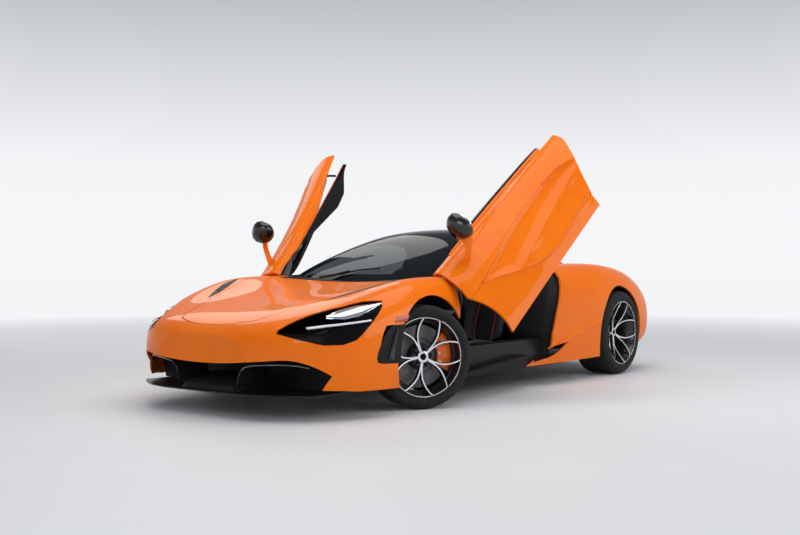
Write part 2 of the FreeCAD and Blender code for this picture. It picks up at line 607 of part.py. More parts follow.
def upright(end, caliper_angle):
    mid = disc_middle(end)
    inner = mid - 60
    x_pin = -KINGPIN_INSET[end]
    face = HUB_FACE[end]
    root = Vector(inner - 10, 0, 0)
    body = fused([
        rod(Vector(inner - 42, 0, 0), Vector(mid - 22, 0, 0), 52.0),
        rod(Vector(inner - 20, 0, 0), Vector(face - 6, 0, 0), HUB_BORE_R - PIN_GAP),
        beam([root, Vector(x_pin - 46, 0, BALL_UP[end] - 30), Vector(x_pin, 0, BALL_UP[end] - 27)], 40, 24),
        beam([root, Vector(x_pin - 46, 0, BALL_DOWN[end] + 30), Vector(x_pin, 0, BALL_DOWN[end] + 27)], 40, 24),
        rod(Vector(x_pin, 0, BALL_UP[end] - 34), Vector(x_pin, 0, BALL_UP[end] + 16), BALL_R),
        rod(Vector(x_pin, 0, BALL_DOWN[end] + 34), Vector(x_pin, 0, BALL_DOWN[end] - 16), BALL_R),
    ])
    grip = caliper(end, caliper_angle)
    a = math.radians(caliper_angle)
    out = DISC_R[end] - 50
    bracket = beam([Vector(inner - 6, 0, 0), Vector(mid - 38, out * math.cos(a), out * math.sin(a))], 60, 16)
    shape = body.fuse([bracket, grip])
    shape = shape.cut(revolve([(mid - DISC_T / 2 - 3, 60), (mid + DISC_T / 2 + 5, 60),
                               (mid + DISC_T / 2 + 5, DISC_R[end] + 5), (mid - DISC_T / 2 - 3, DISC_R[end] + 5)]))
    return largest(shape)


def place_wheel(shape, end, side, steered):
    out = shape.copy()
    if side == "right":
        out = mirrored(out)
    sign = 1 if side == "left" else -1
    y = 0.0 if end == "front" else WHEELBASE
    centre = Vector(sign * TRACK_HALF[end], y, TYRE_R[end])
    out.translate(centre)
    if steered:
        out.rotate(Vector(sign * (TRACK_HALF[end] - KINGPIN_INSET[end]), y, 0), Vector(0, 0, 1), -STEER_REST)
    return out


def wishbones(end):
    """Upper and lower V arms on each side, with an eye round the upright's pin."""
    y = 0.0 if end == "front" else WHEELBASE
    x_pin = TRACK_HALF[end] - KINGPIN_INSET[end]
    out = []
    for drop, spread in ((BALL_UP[end], 120), (BALL_DOWN[end], 170)):
        z = TYRE_R[end] + drop
        eye = rod(Vector(x_pin, y, z - 11), Vector(x_pin, y, z + 11), 19.0)
        arms = []
        for s in (-1, 1):
            bend = Vector(x_pin - 150, y + s * 52, z)
            arms.append(beam([Vector(x_pin, y, z), bend, Vector(ARM_ROOT_X, y + s * spread, z)], 22, 18))
        shape = fused([eye] + arms).cut(box(0, ARM_ROOT_X + SEAT_GAP, y - 400, y + 400, 0, 800))
        out.append(shape.cut(rod(Vector(x_pin, y, z - 40), Vector(x_pin, y, z + 40), BALL_R + PIN_GAP)))
    return both(Part.makeCompound(out))


# Rear part of the front liner that the door's leading edge needs clear
LINER_CUT = [(200, 100), (700, 100), (700, 615), (265, 615), (200, 400)]


def arch_liners():
    out = []
    for end, x_in in (("front", 536.0), ("rear", 520.0)):
        r = ARCH_R[end]
        y = 0.0 if end == "front" else WHEELBASE
        drum = wheel_cylinder(end, r + 9, x_in, 1100).cut(wheel_cylinder(end, r, x_in + 9, 1100))
        low = box(0, 1100, y - 700, y + 700, -200, 215)
        drum = drum.common(BODY_SEAT).cut(low)
        if end == "front":
            drum = drum.cut(side_prism(LINER_CUT, 760, 1100))
        for drop in (BALL_UP[end], BALL_DOWN[end]):
            z = TYRE_R[end] + drop
            drum = drum.cut(box(400, x_in + 12, y - 190, y + 190, z - 24, z + 24))
        shaft = Part.makeCylinder(60, 200, Vector(400, y, TYRE_R[end]), Vector(1, 0, 0))
        out.append(largest(drum.cut(shaft)))
    return both(Part.makeCompound(out))


# Cabin tub
SILL_TOP = 350.0
SILL_OUT = 815.0


def tub():
    floor = box(-SILL_OUT, SILL_OUT, 425, 1760, FLOOR_Z, FLOOR_Z + FLOOR_T)
    sill = fused([box(690, SILL_OUT, 425, 1640, FLOOR_Z, SILL_TOP), box(560, 700, 425, 500, FLOOR_Z, SILL_TOP)])
    tunnel = box(-110, 110, 425, 1760, FLOOR_Z, 330)
    bulkhead_front = box(-700, 700, 425, 445, FLOOR_Z, 900)
    post = both(box(610, 700, 345, 430, 330, 900))
    bulkhead_rear = box(-700, 700, 1740, 1760, FLOOR_Z, 1200)
    post_rear = both(side_prism([(1560, SILL_TOP - 50), (1640, 500), (1700, 660), (1760, 800), (1790, 960), (1800, 1100),
                                 (1745, 1200), (1745, SILL_TOP - 50)], 600, 745))
    raw = fused([floor, tunnel, bulkhead_front, bulkhead_rear] + both(sill).Solids + post.Solids + post_rear.Solids)
    cover = BODY_FLANGE.fuse(smooth_solid(CANOPY, 24.0 + SEAT_GAP))
    raw = raw.common(cover).cut(ROOF).cut(both(wheel_cylinder("front", ARCH_R["front"] + 9.3, 530, 1100)))
    door_room = CANOPY_OUT.common(plan_prism(roof_region(ROOF_GAP), 780, 1300)).cut(smooth_solid(CANOPY, 31.0))
    raw = raw.cut(both(door_room)).cut(both(box(700, 760, 1500, 1862, 780, 1300)))
    raw = raw.cut(both(box(650, 760, 1700, 1862, 822, 1300)))
    pin = rod(on_hinge(PIN_FROM), on_hinge(PIN_TO), HINGE_PIN_R)
    raw = raw.fuse(both(pin).Solids)
    return largest(raw)


def sill_covers():
    line = [(372, 100), (372, 184), (1240, 252), (1240, 100)]
    cover = BODY_OUT.common(side_prism(line, SILL_OUT + SEAT_GAP, 1100))
    return both(largest(cover))


def underfloor():
    outline = [(0, -689.7), (680, -689.7), (700, -500), (690, -420), (530, -400), (530, 400), (800, 424),
               (800, 1900), (740, 2240), (512, 2262), (512, 2900), (0, 2900)]
    return fused(both(plan_prism(outline, FLOOR_Z - 10 - SEAT_GAP, FLOOR_Z - SEAT_GAP)).Solids)


def front_splitter():
    blade = plan_prism([(-752, -700), (-745, -830), (-610, -985), (0, -1093, 1), (610, -985), (745, -830), (752, -700),
                        (500, -690), (-500, -690)], 140, 152)
    keel = side_prism([(-1040, 152), (-1010, 196), (-900, 232), (-760, 236), (-700, 152)], -250, 250)
    fins = []
    for x0, x1, z in ((250, 470, 300), (250, 640, 322)):
        path = [(x0, 200), (x1 - 40, 236, 1), (x1, z), (x1 + 10, z), (x1 - 22, 226, 1), (x0, 188)]
        fins.append(front_prism(path, -930, -760))
    fins.append(front_prism([(620, 152), (650, 152), (652, 324), (640, 324)], -900, -760))
    shape = fused([blade, keel] + both(fused(fins)).Solids)
    return shape.common(smooth_solid(BODY, 3.0).fuse(box(-900, 900, -1200, 0, 100, 260)))


def intake_panel():
    back = front_prism([(-780, 152.3), (780, 152.3), (800, 270), (700, 352), (0, 330), (-700, 352), (-800, 270)],
                       -711, -700.3)
    return largest(back.common(BODY_SEAT).cut(box(-250.3, 250.3, -720, -690, 100, 170)))


LAMP_DEEP = 95.7


def lamp_units():
    upper = [(-760, 628), (-600, 668, 1), (-440, 676), (-452, 636), (-560, 598, 1), (-735, 604)]
    lower = [(-850, 536), (-640, 566, 1), (-500, 590), (-505, 580), (-640, 552, 1), (-850, 524)]
    out = []
    deep = smooth_solid(BODY, LAMP_DEEP, LAMP_DEEP)
    for items, top in ((upper, 10.0), (lower, 30.0)):
        out.append(largest(skin(lamp_band(items), deep, smooth_solid(BODY, top, top))))
    bowls = parts["headlamp_bowls"]
    return both(Part.makeCompound([largest(lamp.cut(bowls)) for lamp in out]))


def lamp_band(items):
    def place(y, z):
        share = (y - LAMP_X[0][0]) / (LAMP_X[1][0] - LAMP_X[0][0])
        x = LAMP_X[0][1] + share * (LAMP_X[1][1] - LAMP_X[0][1])
        return Vector(x, y, z) - LAMP_AIM * 170.0
    return Part.Face(wire(items, place)).extrude(LAMP_AIM * 330.0)


def corner_vents():
    grown = [(-470, 550), (-528, 450, 1), (-540, 370), (-506, 316), (-398, 300), (-384, 330), (-366, 440, 1),
             (-392, 556)]
    pocket = side_prism(grown, 700, 1100)
    cup = BODY_SEAT.common(pocket).cut(smooth_solid(BODY, 70.0))
    hollow = side_prism(CORNER_VENT, 700, 1100).cut(smooth_solid(BODY, 58.0))
    cup = cup.cut(hollow).cut(wheel_cylinder("front", ARCH_R["front"] + 9.3, 500, 1100))
    return both(largest(cup))


def diffuser():
    plate = side_prism([(2910, 140), (2910, 150), (3330, 300), (3440, 330), (3440, 322), (3335, 288)], -620, 620)
    fins = [side_prism([(2960, 140), (3430, 205), (3432, 322), (3330, 296), (2960, 160)], x - 5, x + 5)
            for x in (-480, -300, -120, 120, 300, 480)]
    ends = both(side_prism([(2910, 140), (3300, 180), (3430, 300), (3440, 330), (3330, 300), (2910, 150)], 606, 620))
    upper = side_prism([(3380, 310), (3440, 330), (3440, 345), (3380, 345)], -600, 600)
    return largest(fused([plate, upper] + fins + ends.Solids).cut(parts["rear_bumper"]))


def rear_grille():
    plate = front_prism([(-600, 345.3), (600, 345.3), (690, 540), (640, 640), (0, 684, 1), (-640, 640), (-690, 540)],
                        3405, 3417)
    return plate.common(BODY_SEAT).cut(both(exhaust_bar(64.3)))


def exhaust_bar(radius, bore=0.0):
    return rod(Vector(150, 3230, 590), Vector(150, 3449, 590), radius, bore)


def exhausts():
    return both(exhaust_bar(64.0, 56.0))


def tail_lamps():
    blade = front_prism([(330, 655), (600, 632), (676, 575, 1), (700, 500), (690, 500), (664, 570, 1), (596, 622),
                         (330, 643)], 3417.3, 3449)
    return both(blade.cut(parts["rear_bumper"]))


def engine():
    return box(-300, 300, 1770, 2330, FLOOR_Z, 700)


def seats():
    cushion = [(960, 260), (1420, 215), (1470, 300), (1380, 330), (1180, 300, 1), (980, 340)]
    seat = side_prism(cushion, 170, 590)
    back = side_prism([(1390, 280), (1470, 250), (1690, 880), (1640, 930), (1560, 900), (1500, 640)], 185, 575)
    back_wing = [(1400, 290), (1500, 260), (1660, 760), (1600, 760), (1430, 560)]
    seat_wing = [(980, 230), (1440, 220), (1440, 400), (1000, 360)]
    wings = fused([side_prism(back_wing, x, x + 46) for x in (140, 574)]
                  + [side_prism(seat_wing, x, x + 40) for x in (140, 580)])
    rails = fused([box(x, x + 30, 1000, 1440, FLOOR_Z + FLOOR_T, 262) for x in (200, 530)])
    return both(fused([seat, back, wings, rails]))


def dashboard():
    top = side_prism([(445.3, 560), (445.3, 800), (560, 838, 1), (700, 808), (760, 740), (745, 640), (700, 560)],
                     -605, 605)
    binnacle = side_prism([(640, 800), (700, 850), (770, 858), (790, 800), (740, 740)], 240, 480)
    console = side_prism([(700, 560), (760, 620), (900, 480), (1350, 400), (1420, 330), (700, 330)], -105, 105)
    shape = fused([top, binnacle, console])
    shape = shape.common(smooth_solid(CANOPY, 12.0).fuse(BODY_FLANGE))
    return largest(shape.cut(steering_column(30 + SEAT_GAP)))


WHEEL_HUB = Vector(360, 880, 690)
COLUMN_DIR = Vector(0, -math.cos(math.radians(24)), -math.sin(math.radians(24)))


def on_column(distance):
    """A point on the steering column, ahead of the wheel's hub."""
    return WHEEL_HUB + COLUMN_DIR * distance


def steering_column(radius):
    return rod(on_column(0), on_column(190), radius)


def steering_wheel():
    ring = Part.makeTorus(178, 15)
    hub = Part.makeCylinder(52, 34, Vector(0, 0, -8))
    spokes = [Part.makeBox(346, 26, 12, Vector(-173, -13, -6)), Part.makeBox(26, 173, 12, Vector(-13, -173, -6))]
    wheel = ring.fuse([hub] + spokes)
    turn = Rotation(Vector(1, 0, 0), Vector(0, -COLUMN_DIR.z, COLUMN_DIR.y), COLUMN_DIR, "ZXY")
    wheel.Placement = Placement(WHEEL_HUB, turn)
    return wheel.fuse(steering_column(30))


BAY = {"half": 400.0, "front": -700.0, "rear": 250.0, "floor": 300.0, "wall": 12.0}


def luggage_bay():
    h, w = BAY["half"], BAY["wall"]
    shell = box(-h, h, BAY["front"], BAY["rear"], BAY["floor"], 900)
    hollow = box(-h + w, h - w, BAY["front"] + w, BAY["rear"] - w, BAY["floor"] + w, 900)
    tray = shell.cut(hollow).common(smooth_solid(BODY, SKIN + 7.0, SKIN + 7.0))
    surround = skin(plan_prism(bonnet_outline(40.0), 450, 1000), BODY_FLANGE, BODY_SEAT)
    surround = surround.cut(box(-h + 60, h - 60, BAY["front"] + 60, BAY["rear"] - 60, 300, 1000))
    surround = surround.cut(box(-800, 800, LID_HINGE_Y - 3, 500, 300, 1000))
    surround = surround.cut(box(-800, 800, -1200, -1000, 300, 1000))
    legs = fused([box(s * (h - 40) - 20, s * (h - 40) + 20, y, y + 40, FLOOR_Z, BAY["floor"] + 4)
                  for s in (-1, 1) for y in (-420, 160)])
    hinges = []
    for s in (-1, 1):
        surround = surround.cut(box(s * HINGE_X - 13, s * HINGE_X + 13, LID_HINGE_Y - 16, LID_HINGE_Y + 30, 700, 900))
        for x in (s * HINGE_X - 20, s * HINGE_X + 20):
            hinges.append(box(x - 7, x + 7, LID_HINGE_Y - 30, LID_HINGE_Y + 5, LID_HINGE_Z - 16, LID_HINGE_Z + 4))
        hinges.append(rod(Vector(s * HINGE_X - 24, LID_HINGE_Y, LID_HINGE_Z),
                          Vector(s * HINGE_X + 24, LID_HINGE_Y, LID_HINGE_Z), LID_PIN_R))
    swing = box(-HINGE_X + 40, HINGE_X - 40, LID_HINGE_Y - 33, 500, LID_HINGE_Z - 108, 1000)
    return largest(tray.fuse([surround, legs] + hinges).cut(swing))


WING_POST_X = 375.0


def rear_subframe():
    """Two side frames behind the cabin that carry the rear arms, the floor and the tail."""
    frames = []
    for x0 in (350, -400):
        outer = side_prism([(1760, FLOOR_Z), (2905, FLOOR_Z), (2905, 190), (3150, 262), (3150, 500), (1760, 500)],
                           x0, x0 + 50)
        for y0, y1 in ((1810, 2350), (2400, 2860)):
            outer = outer.cut(box(x0 - 1, x0 + 51, y0, y1, FLOOR_Z + 40, 460))
        outer = outer.cut(side_prism([(2910, 240), (3105, 300), (3105, 460), (2910, 460)], x0 - 1, x0 + 51))
        frames.append(outer)
    for y, z in ((2350, FLOOR_Z), (2860, FLOOR_Z), (3110, 460)):
        frames.append(box(-350, 350, y, y + 40, z, z + 40))
    below_wing = smooth_solid(BODY, WING_T + SEAT_GAP, 0.0)
    for x in (-WING_POST_X, WING_POST_X):
        frames.append(box(x - 25, x + 25, 3110, 3150, 500, 900))
        frames.append(box(x - 25, x + 25, 3110, 3290, 640, 690))
        frames.append(box(x - 25, x + 25, 3250, 3290, 640, 900).common(below_wing))
    return largest(fused(frames).common(BODY_SEAT))


# Pieces in the order they are made; some are trimmed against ones made before them
MAKERS = [
    ("front_bumper", front_bumper), ("headlamp_bowls", headlamp_bowls), ("front_fenders", front_fenders),
    ("bonnet", bonnet), ("rear_quarters", rear_quarters), ("windscreen", windscreen), ("rear_glass", rear_glass),
    ("cowl", cowl), ("rear_deck", rear_deck), ("rear_wing", rear_wing), ("rear_bumper", rear_bumper),
    ("arch_liners", arch_liners), ("tub", tub), ("sill_covers", sill_covers), ("underfloor", underfloor),
    ("front_splitter", front_splitter), ("intake_panel", intake_panel), ("lamp_units", lamp_units),
    ("corner_vents", corner_vents), ("diffuser", diffuser), ("rear_grille", rear_grille), ("exhausts", exhausts),
    ("tail_lamps", tail_lamps), ("rear_subframe", rear_subframe), ("engine", engine), ("seats", seats),
    ("dashboard", dashboard), ("steering_wheel", steering_wheel), ("luggage_bay", luggage_bay),
]
CALIPER_ANGLE = {"front": 8.0, "rear": 172.0}


def make_doors():
    """Each side's door, window and mirror, opened about the hinge."""
    door = door_closed()
    closed = {"door": door, "door_glass": door_glass_closed(), "mirror": largest(mirror_closed().cut(door))}
    for name, piece in closed.items():
        parts[name + "_left"] = opened(piece)
        parts[name + "_right"] = mirrored(parts[name + "_left"])


def make_running_gear():
    """Wheels, discs, uprights and arms; the front wheels are steered."""
    for end in ("front", "rear"):
        pieces = {"tyre": tyre(end), "rim": rim(end), "disc": brake_disc(end)}
        for side in ("left", "right"):
            for name, piece in pieces.items():
                parts[name + "_" + end + "_" + side] = place_wheel(piece, end, side, end == "front")
        parts[end + "_wishbones"] = wishbones(end)
    knuckle = upright("front", CALIPER_ANGLE["front"])
    for side in ("left", "right"):
        parts["knuckle_" + side] = place_wheel(knuckle, "front", side, True)
    carrier = upright("rear", CALIPER_ANGLE["rear"])
    carriers = [place_wheel(carrier, "rear", side, False) for side in ("left", "right")]
    parts["rear_uprights"] = Part.makeCompound(carriers)


def export():
    os.makedirs("parts", exist_ok=True)
    move = Vector(0, FRONT_AXLE_Y, 0)
    for name, shape in parts.items():
        solid = shape.copy()
        solid.translate(move)
        solid.exportStep("parts/" + name + ".step")
        print(name, len(solid.Solids), round(solid.Volume / 1e6, 2), solid.isValid())


parts["roof_frame"] = ROOF
for name, maker in MAKERS:
    parts[name] = maker()
make_doors()
make_running_gear()
export()
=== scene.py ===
"""Looks of the parked supercar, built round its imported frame. Metres; x is the car's left, y its rear, z up."""

import bisect
import json
import math

import bmesh
import bpy
from mathutils import Matrix, Vector


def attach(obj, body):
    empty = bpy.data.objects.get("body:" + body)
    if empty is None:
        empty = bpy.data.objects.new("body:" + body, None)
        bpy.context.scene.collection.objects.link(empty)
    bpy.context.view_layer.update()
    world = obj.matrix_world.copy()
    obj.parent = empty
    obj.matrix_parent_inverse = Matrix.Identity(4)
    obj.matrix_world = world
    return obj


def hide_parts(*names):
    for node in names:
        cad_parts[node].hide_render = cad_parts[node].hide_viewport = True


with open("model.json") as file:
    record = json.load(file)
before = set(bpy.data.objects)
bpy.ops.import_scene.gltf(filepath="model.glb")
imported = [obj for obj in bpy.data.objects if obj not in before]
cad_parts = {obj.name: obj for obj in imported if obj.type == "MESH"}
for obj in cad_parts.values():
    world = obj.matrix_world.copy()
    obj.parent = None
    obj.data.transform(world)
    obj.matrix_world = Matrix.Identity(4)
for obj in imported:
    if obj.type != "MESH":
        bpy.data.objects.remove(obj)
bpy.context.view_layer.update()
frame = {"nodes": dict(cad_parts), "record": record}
nodes = frame["nodes"]

# The car's measures, in metres
SIDES = {"left": 1.0, "right": -1.0}
FRONT_AXLE_Y = -1.178
WHEELBASE = 2.670
TRACK_HALF = {"front": 0.837, "rear": 0.8145}
TYRE_R = {"front": 0.327, "rear": 0.3455}
TYRE_W = {"front": 0.245, "rear": 0.305}
RIM_R = {"front": 0.2545, "rear": 0.267}
KINGPIN_INSET = 0.042
STEER_REST = math.radians(29.0)

CAMERA_AT = (4.639, -6.303, 0.877)
CAMERA_YAW = math.radians(37.74)
CAMERA_PITCH = math.radians(0.08)
CAMERA_LENS = 45.27


# Materials

def shader(name, colour, roughness=0.5, metallic=0.0, coat=0.0, coat_roughness=0.03, specular=0.5):
    """New material with its principled shader and its node tree."""
    mat = bpy.data.materials.new(name)
    mat.use_nodes = True
    tree = mat.node_tree
    bsdf = tree.nodes["Principled BSDF"]
    bsdf.inputs["Base Color"].default_value = (*colour, 1.0)
    bsdf.inputs["Roughness"].default_value = roughness
    bsdf.inputs["Metallic"].default_value = metallic
    bsdf.inputs["Coat Weight"].default_value = coat
    bsdf.inputs["Specular IOR Level"].default_value = specular
    bsdf.inputs["Coat Roughness"].default_value = coat_roughness
    return mat, tree, bsdf


def node(tree, kind, **inputs):
    """New node with its input values set by name."""
    made = tree.nodes.new(kind)
    for key, value in inputs.items():
        made.inputs[key.replace("_", " ")].default_value = value
    return made


def object_space(tree):
    return node(tree, "ShaderNodeTexCoord").outputs["Object"]


def noise(tree, scale, detail=3.0):
    made = node(tree, "ShaderNodeTexNoise", Scale=scale, Detail=detail, Roughness=0.5)
    tree.links.new(object_space(tree), made.inputs["Vector"])
    return made.outputs["Fac"]


def ramp(tree, value, stops):
    """Colour ramp of (place, colour) stops on a value."""
    made = tree.nodes.new("ShaderNodeValToRGB")
    while len(made.color_ramp.elements) < len(stops):
        made.color_ramp.elements.new(0.5)
    for element, (place, colour) in zip(made.color_ramp.elements, stops):
        element.position = place
        element.color = (*colour, 1.0)
    tree.links.new(value, made.inputs["Fac"])
    return made.outputs["Color"]


def math_node(tree, operation, a, b=0.0):
    made = tree.nodes.new("ShaderNodeMath")
    made.operation = operation
    for slot, value in zip(made.inputs, (a, b)):
        if isinstance(value, (int, float)):
            slot.default_value = value
        else:
            tree.links.new(value, slot)
    return made.outputs[0]


def bump(tree, bsdf, height, strength, distance):
    made = node(tree, "ShaderNodeBump", Strength=strength, Distance=distance)
    tree.links.new(height, made.inputs["Height"])
    tree.links.new(made.outputs["Normal"], bsdf.inputs["Normal"])


def vary_roughness(tree, bsdf, scale, low, high):
    grey = ramp(tree, noise(tree, scale), [(0.3, (low,) * 3), (0.7, (high,) * 3)])
    tree.links.new(grey, bsdf.inputs["Roughness"])


def tint(tree, bsdf, value, stops):
    """Base colour from a ramp on a value."""
    tree.links.new(ramp(tree, value, stops), bsdf.inputs["Base Color"])


def mix_surface(tree, share, first, second):
    """Sends a mix of two shaders to the material's surface."""
    mix = tree.nodes.new("ShaderNodeMixShader")
    for slot, value in zip(mix.inputs, (share, first, second)):
        tree.links.new(value, slot)
    tree.links.new(mix.outputs[0], tree.nodes["Material Output"].inputs["Surface"])


def paint(name, colour, deep):
    """Gloss paint: fine flake in the base, slow colour drift, clear coat on top."""
    mat, tree, bsdf = shader(name, colour, coat=0.38, specular=0.04)
    tint(tree, bsdf, noise(tree, 3.0, 2.0), [(0.35, deep), (0.65, colour)])
    bump(tree, bsdf, noise(tree, 2200.0, 1.0), 0.04, 0.0002)
    return mat


def plastic(name, colour, roughness, grain_scale=1500.0, grain=0.25, coat=0.0, specular=0.3):
    """Moulded plastic: a fine grain and a slow change of sheen."""
    mat, tree, bsdf = shader(name, colour, roughness, coat=coat, specular=specular)
    vary_roughness(tree, bsdf, 18.0, roughness * 0.85, roughness * 1.2)
    bump(tree, bsdf, noise(tree, grain_scale, 2.0), grain, 0.0003)
    return mat


def metal(name, colour, roughness, scale=300.0, strength=0.1):
    """Metal with a slow change of sheen and a fine surface of the given scale."""
    mat, tree, bsdf = shader(name, colour, roughness, metallic=1.0)
    vary_roughness(tree, bsdf, 30.0, roughness * 0.8, roughness * 1.25)
    bump(tree, bsdf, noise(tree, scale, 4.0), strength, 0.0004)
    return mat


TOWS_PER_METRE = 500.0


def carbon(name):
    """Lacquered twill: each tow shows for about two of every four, one step further from row to row."""
    mat, tree, bsdf = shader(name, (0.012, 0.012, 0.014), 0.35, coat=0.15, coat_roughness=0.05, specular=0.1)
    split = tree.nodes.new("ShaderNodeSeparateXYZ")
    tree.links.new(object_space(tree), split.inputs[0])
    x, y, z = split.outputs
    across, lengthwise = (math_node(tree, "FLOOR", math_node(tree, "MULTIPLY", way, TOWS_PER_METRE))
                          for way in (math_node(tree, "ADD", x, z), math_node(tree, "SUBTRACT", y, z)))
    step = math_node(tree, "ADD", across, lengthwise)
    over = math_node(tree, "LESS_THAN", math_node(tree, "FLOORED_MODULO", step, 4.0), 1.5)
    tint(tree, bsdf, over, [(0.0, (0.006, 0.006, 0.007)), (1.0, (0.022, 0.022, 0.024))])
    bump(tree, bsdf, over, 0.15, 0.0002)
    return mat


def tinted_glass(name, colour, opacity):
    """Thin tinted pane: mostly clear, with a mirror-like surface."""
    mat, tree, bsdf = shader(name, colour, 0.02, coat_roughness=0.01, specular=0.2)
    clear = node(tree, "ShaderNodeBsdfTransparent", Color=(0.44, 0.49, 0.52, 1.0))
    haze = ramp(tree, noise(tree, 4.0), [(0.3, (opacity * 0.95,) * 3), (0.7, (opacity * 1.05,) * 3)])
    mix_surface(tree, haze, clear.outputs[0], bsdf.outputs[0])
    return mat


def leather(name, colour):
    """Dark leather: small pressed cells and a slow change of tone."""
    mat, tree, bsdf = shader(name, colour)
    cells = node(tree, "ShaderNodeTexVoronoi", Scale=420.0)
    tree.links.new(object_space(tree), cells.inputs["Vector"])
    bump(tree, bsdf, cells.outputs["Distance"], 0.35, 0.0006)
    tint(tree, bsdf, noise(tree, 9.0), [(0.3, tuple(c * 0.7 for c in colour)), (0.7, colour)])
    return mat


def rubber(name):
    mat, tree, bsdf = shader(name, (0.014, 0.014, 0.015), 0.7, specular=0.25)
    tint(tree, bsdf, noise(tree, 25.0, 5.0), [(0.3, (0.010, 0.010, 0.011)), (0.75, (0.020, 0.020, 0.020))])
    bump(tree, bsdf, noise(tree, 900.0, 3.0), 0.3, 0.0004)
    return mat


ORANGE = (0.92, 0.185, 0.001)
ORANGE_DEEP = (0.90, 0.166, 0.001)
body_paint = paint("body_orange", ORANGE, ORANGE_DEEP)
gloss_black = plastic("gloss_black", (0.006, 0.006, 0.007), 0.12, 600.0, 0.02, specular=0.035)
mirror_black = plastic("mirror_black", (0.007, 0.007, 0.008), 0.08, 600.0, 0.02, coat=0.7)
black_trim = plastic("black_trim", (0.011, 0.011, 0.012), 0.5, specular=0.15)
carbon_weave = carbon("carbon_weave")
glass = tinted_glass("tinted_glass", (0.01, 0.012, 0.014), 0.45)
alloy = metal("forged_alloy", (0.45, 0.46, 0.48), 0.4)
iron = metal("disc_iron", (0.13, 0.13, 0.135), 0.45)
steel = metal("pipe_steel", (0.6, 0.58, 0.56), 0.25)
hide = leather("dark_leather", (0.03, 0.03, 0.034))
tyre_rubber = rubber("tyre_rubber")
lens_clear = tinted_glass("lens_clear", (0.6, 0.65, 0.7), 0.25)
lens_red = tinted_glass("lens_red", (0.35, 0.01, 0.008), 0.8)
bright_alloy = metal("machined_alloy", (0.78, 0.78, 0.80), 0.22)
wheel_black = plastic("wheel_black", (0.012, 0.012, 0.013), 0.25, 500.0, 0.03, coat=0.6)
caliper_orange = plastic("caliper_orange", (0.80, 0.14, 0.006), 0.35, 400.0, 0.15, coat=0.5)

LOOKS = {
    "body_paint": body_paint, "gloss_black": gloss_black, "black_trim": black_trim, "carbon": carbon_weave,
    "glass": glass, "alloy": alloy, "wheel_alloy": bright_alloy, "tyre": tyre_rubber, "iron": iron,
    "cast_metal": alloy, "steel": steel, "lamp_clear": lens_clear, "lamp_red": lens_red, "leather": hide,
}
for part in frame["record"]["subparts"]:
    shown = nodes[part["node"]]
    shown.data.materials.clear()
    shown.data.materials.append(LOOKS[part["material_slot"]])


# Mesh helpers

def add_piece(name, bm, materials, body, place, smooth=40.0, stands_for=()):
    """Turns a bmesh into a piece on a CAD body; place moves and may mirror it, stands_for names the CAD nodes
    it replaces, and edges past smooth degrees are sharp."""
    bm.transform(place)
    if place.determinant() < 0:
        bmesh.ops.reverse_faces(bm, faces=bm.faces)
    mesh = bpy.data.meshes.new(name)
    bm.to_mesh(mesh)
    bm.free()
    for mat in materials:
        mesh.materials.append(mat)
    piece = bpy.data.objects.new(name, mesh)
    bpy.context.scene.collection.objects.link(piece)
    mesh.polygons.foreach_set("use_smooth", [True] * len(mesh.polygons))
    mesh.set_sharp_from_angle(angle=math.radians(smooth))
    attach(piece, body)
    if stands_for:
        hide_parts(*stands_for)
    return piece


def skin_rings(bm, rings, close_path=False, material=None):
    """Joins closed rings by quads, with end caps unless the path closes; material(j) is side j's material."""
    verts = [[bm.verts.new(p) for p in ring] for ring in rings]
    count = len(rings[0])
    for here, there in zip(verts, verts[1:] + verts[:1] if close_path else verts[1:]):
        for j in range(count):
            k = (j + 1) % count
            face = bm.faces.new((here[j], here[k], there[k], there[j]))
            if material:
                face.material_index = material(j)
    if not close_path:
        bm.faces.new(verts[0][::-1])
        bm.faces.new(verts[-1])


def facing_out(bm):
    """The mesh, with its faces turned outwards."""
    bmesh.ops.recalc_face_normals(bm, faces=bm.faces)
    return bm


def ring_mesh(*skins):
    """New mesh of one or more skins, whose sides have the material of the skin's number."""
    bm = bmesh.new()
    for number, rings in enumerate(skins):
        skin_rings(bm, rings, material=lambda j: number)
    return facing_out(bm)


def circle(count):
    """Cosine and sine of equal steps round a circle."""
    return [(math.cos(math.tau * i / count), math.sin(math.tau * i / count)) for i in range(count)]


def round_point(r, degrees):
    a = math.radians(degrees)
    return r * math.cos(a), r * math.sin(a)


def revolve(bm, outline, steps, material=None, dent=None, x0=0.0, at=(0.0, 0.0)):
    """Closed (x, r) outline in mm, moved along by x0, turned about the x axis through at; dent(i, x, r)
    lowers r at step i."""
    rings = []
    for i, (cosine, sine) in enumerate(circle(steps)):
        ring = []
        for x, r in outline:
            rr = r - (dent(i, x, r) if dent else 0.0)
            ring.append(((x0 + x) / 1000, (at[0] + rr * cosine) / 1000, (at[1] + rr * sine) / 1000))
        rings.append(ring)
    skin_rings(bm, rings, True, material)
    facing_out(bm)


def lerp_table(table, value):
    """Straight-line interpolation in a table of (key, value) rows."""
    if value <= table[0][0]:
        return table[0][1]
    for (x0, y0), (x1, y1) in zip(table[:-1], table[1:]):
        if value <= x1:
            return y0 + (y1 - y0) * (value - x0) / (x1 - x0)
    return table[-1][1]


def spread(low, high, steps):
    """Values at equal steps from low to high."""
    return [low + (high - low) * k / steps for k in range(steps + 1)]


# Wheels, drawn about their centre with the face towards +x, in millimetres

PETALS = 5
PETAL_TURN = 360.0 / PETALS
WHEEL_PHASE = 43.0
# Face of the spokes from the hub outwards: radius, distance along the axle
DISH = {
    "front": [(22, 80), (62, 79), (110, 86), (160, 92), (200, 98), (232, 106), (250, 114)],
    "rear": [(22, 68), (62, 66), (110, 78), (160, 101), (200, 120), (235, 134), (262, 143)],
}
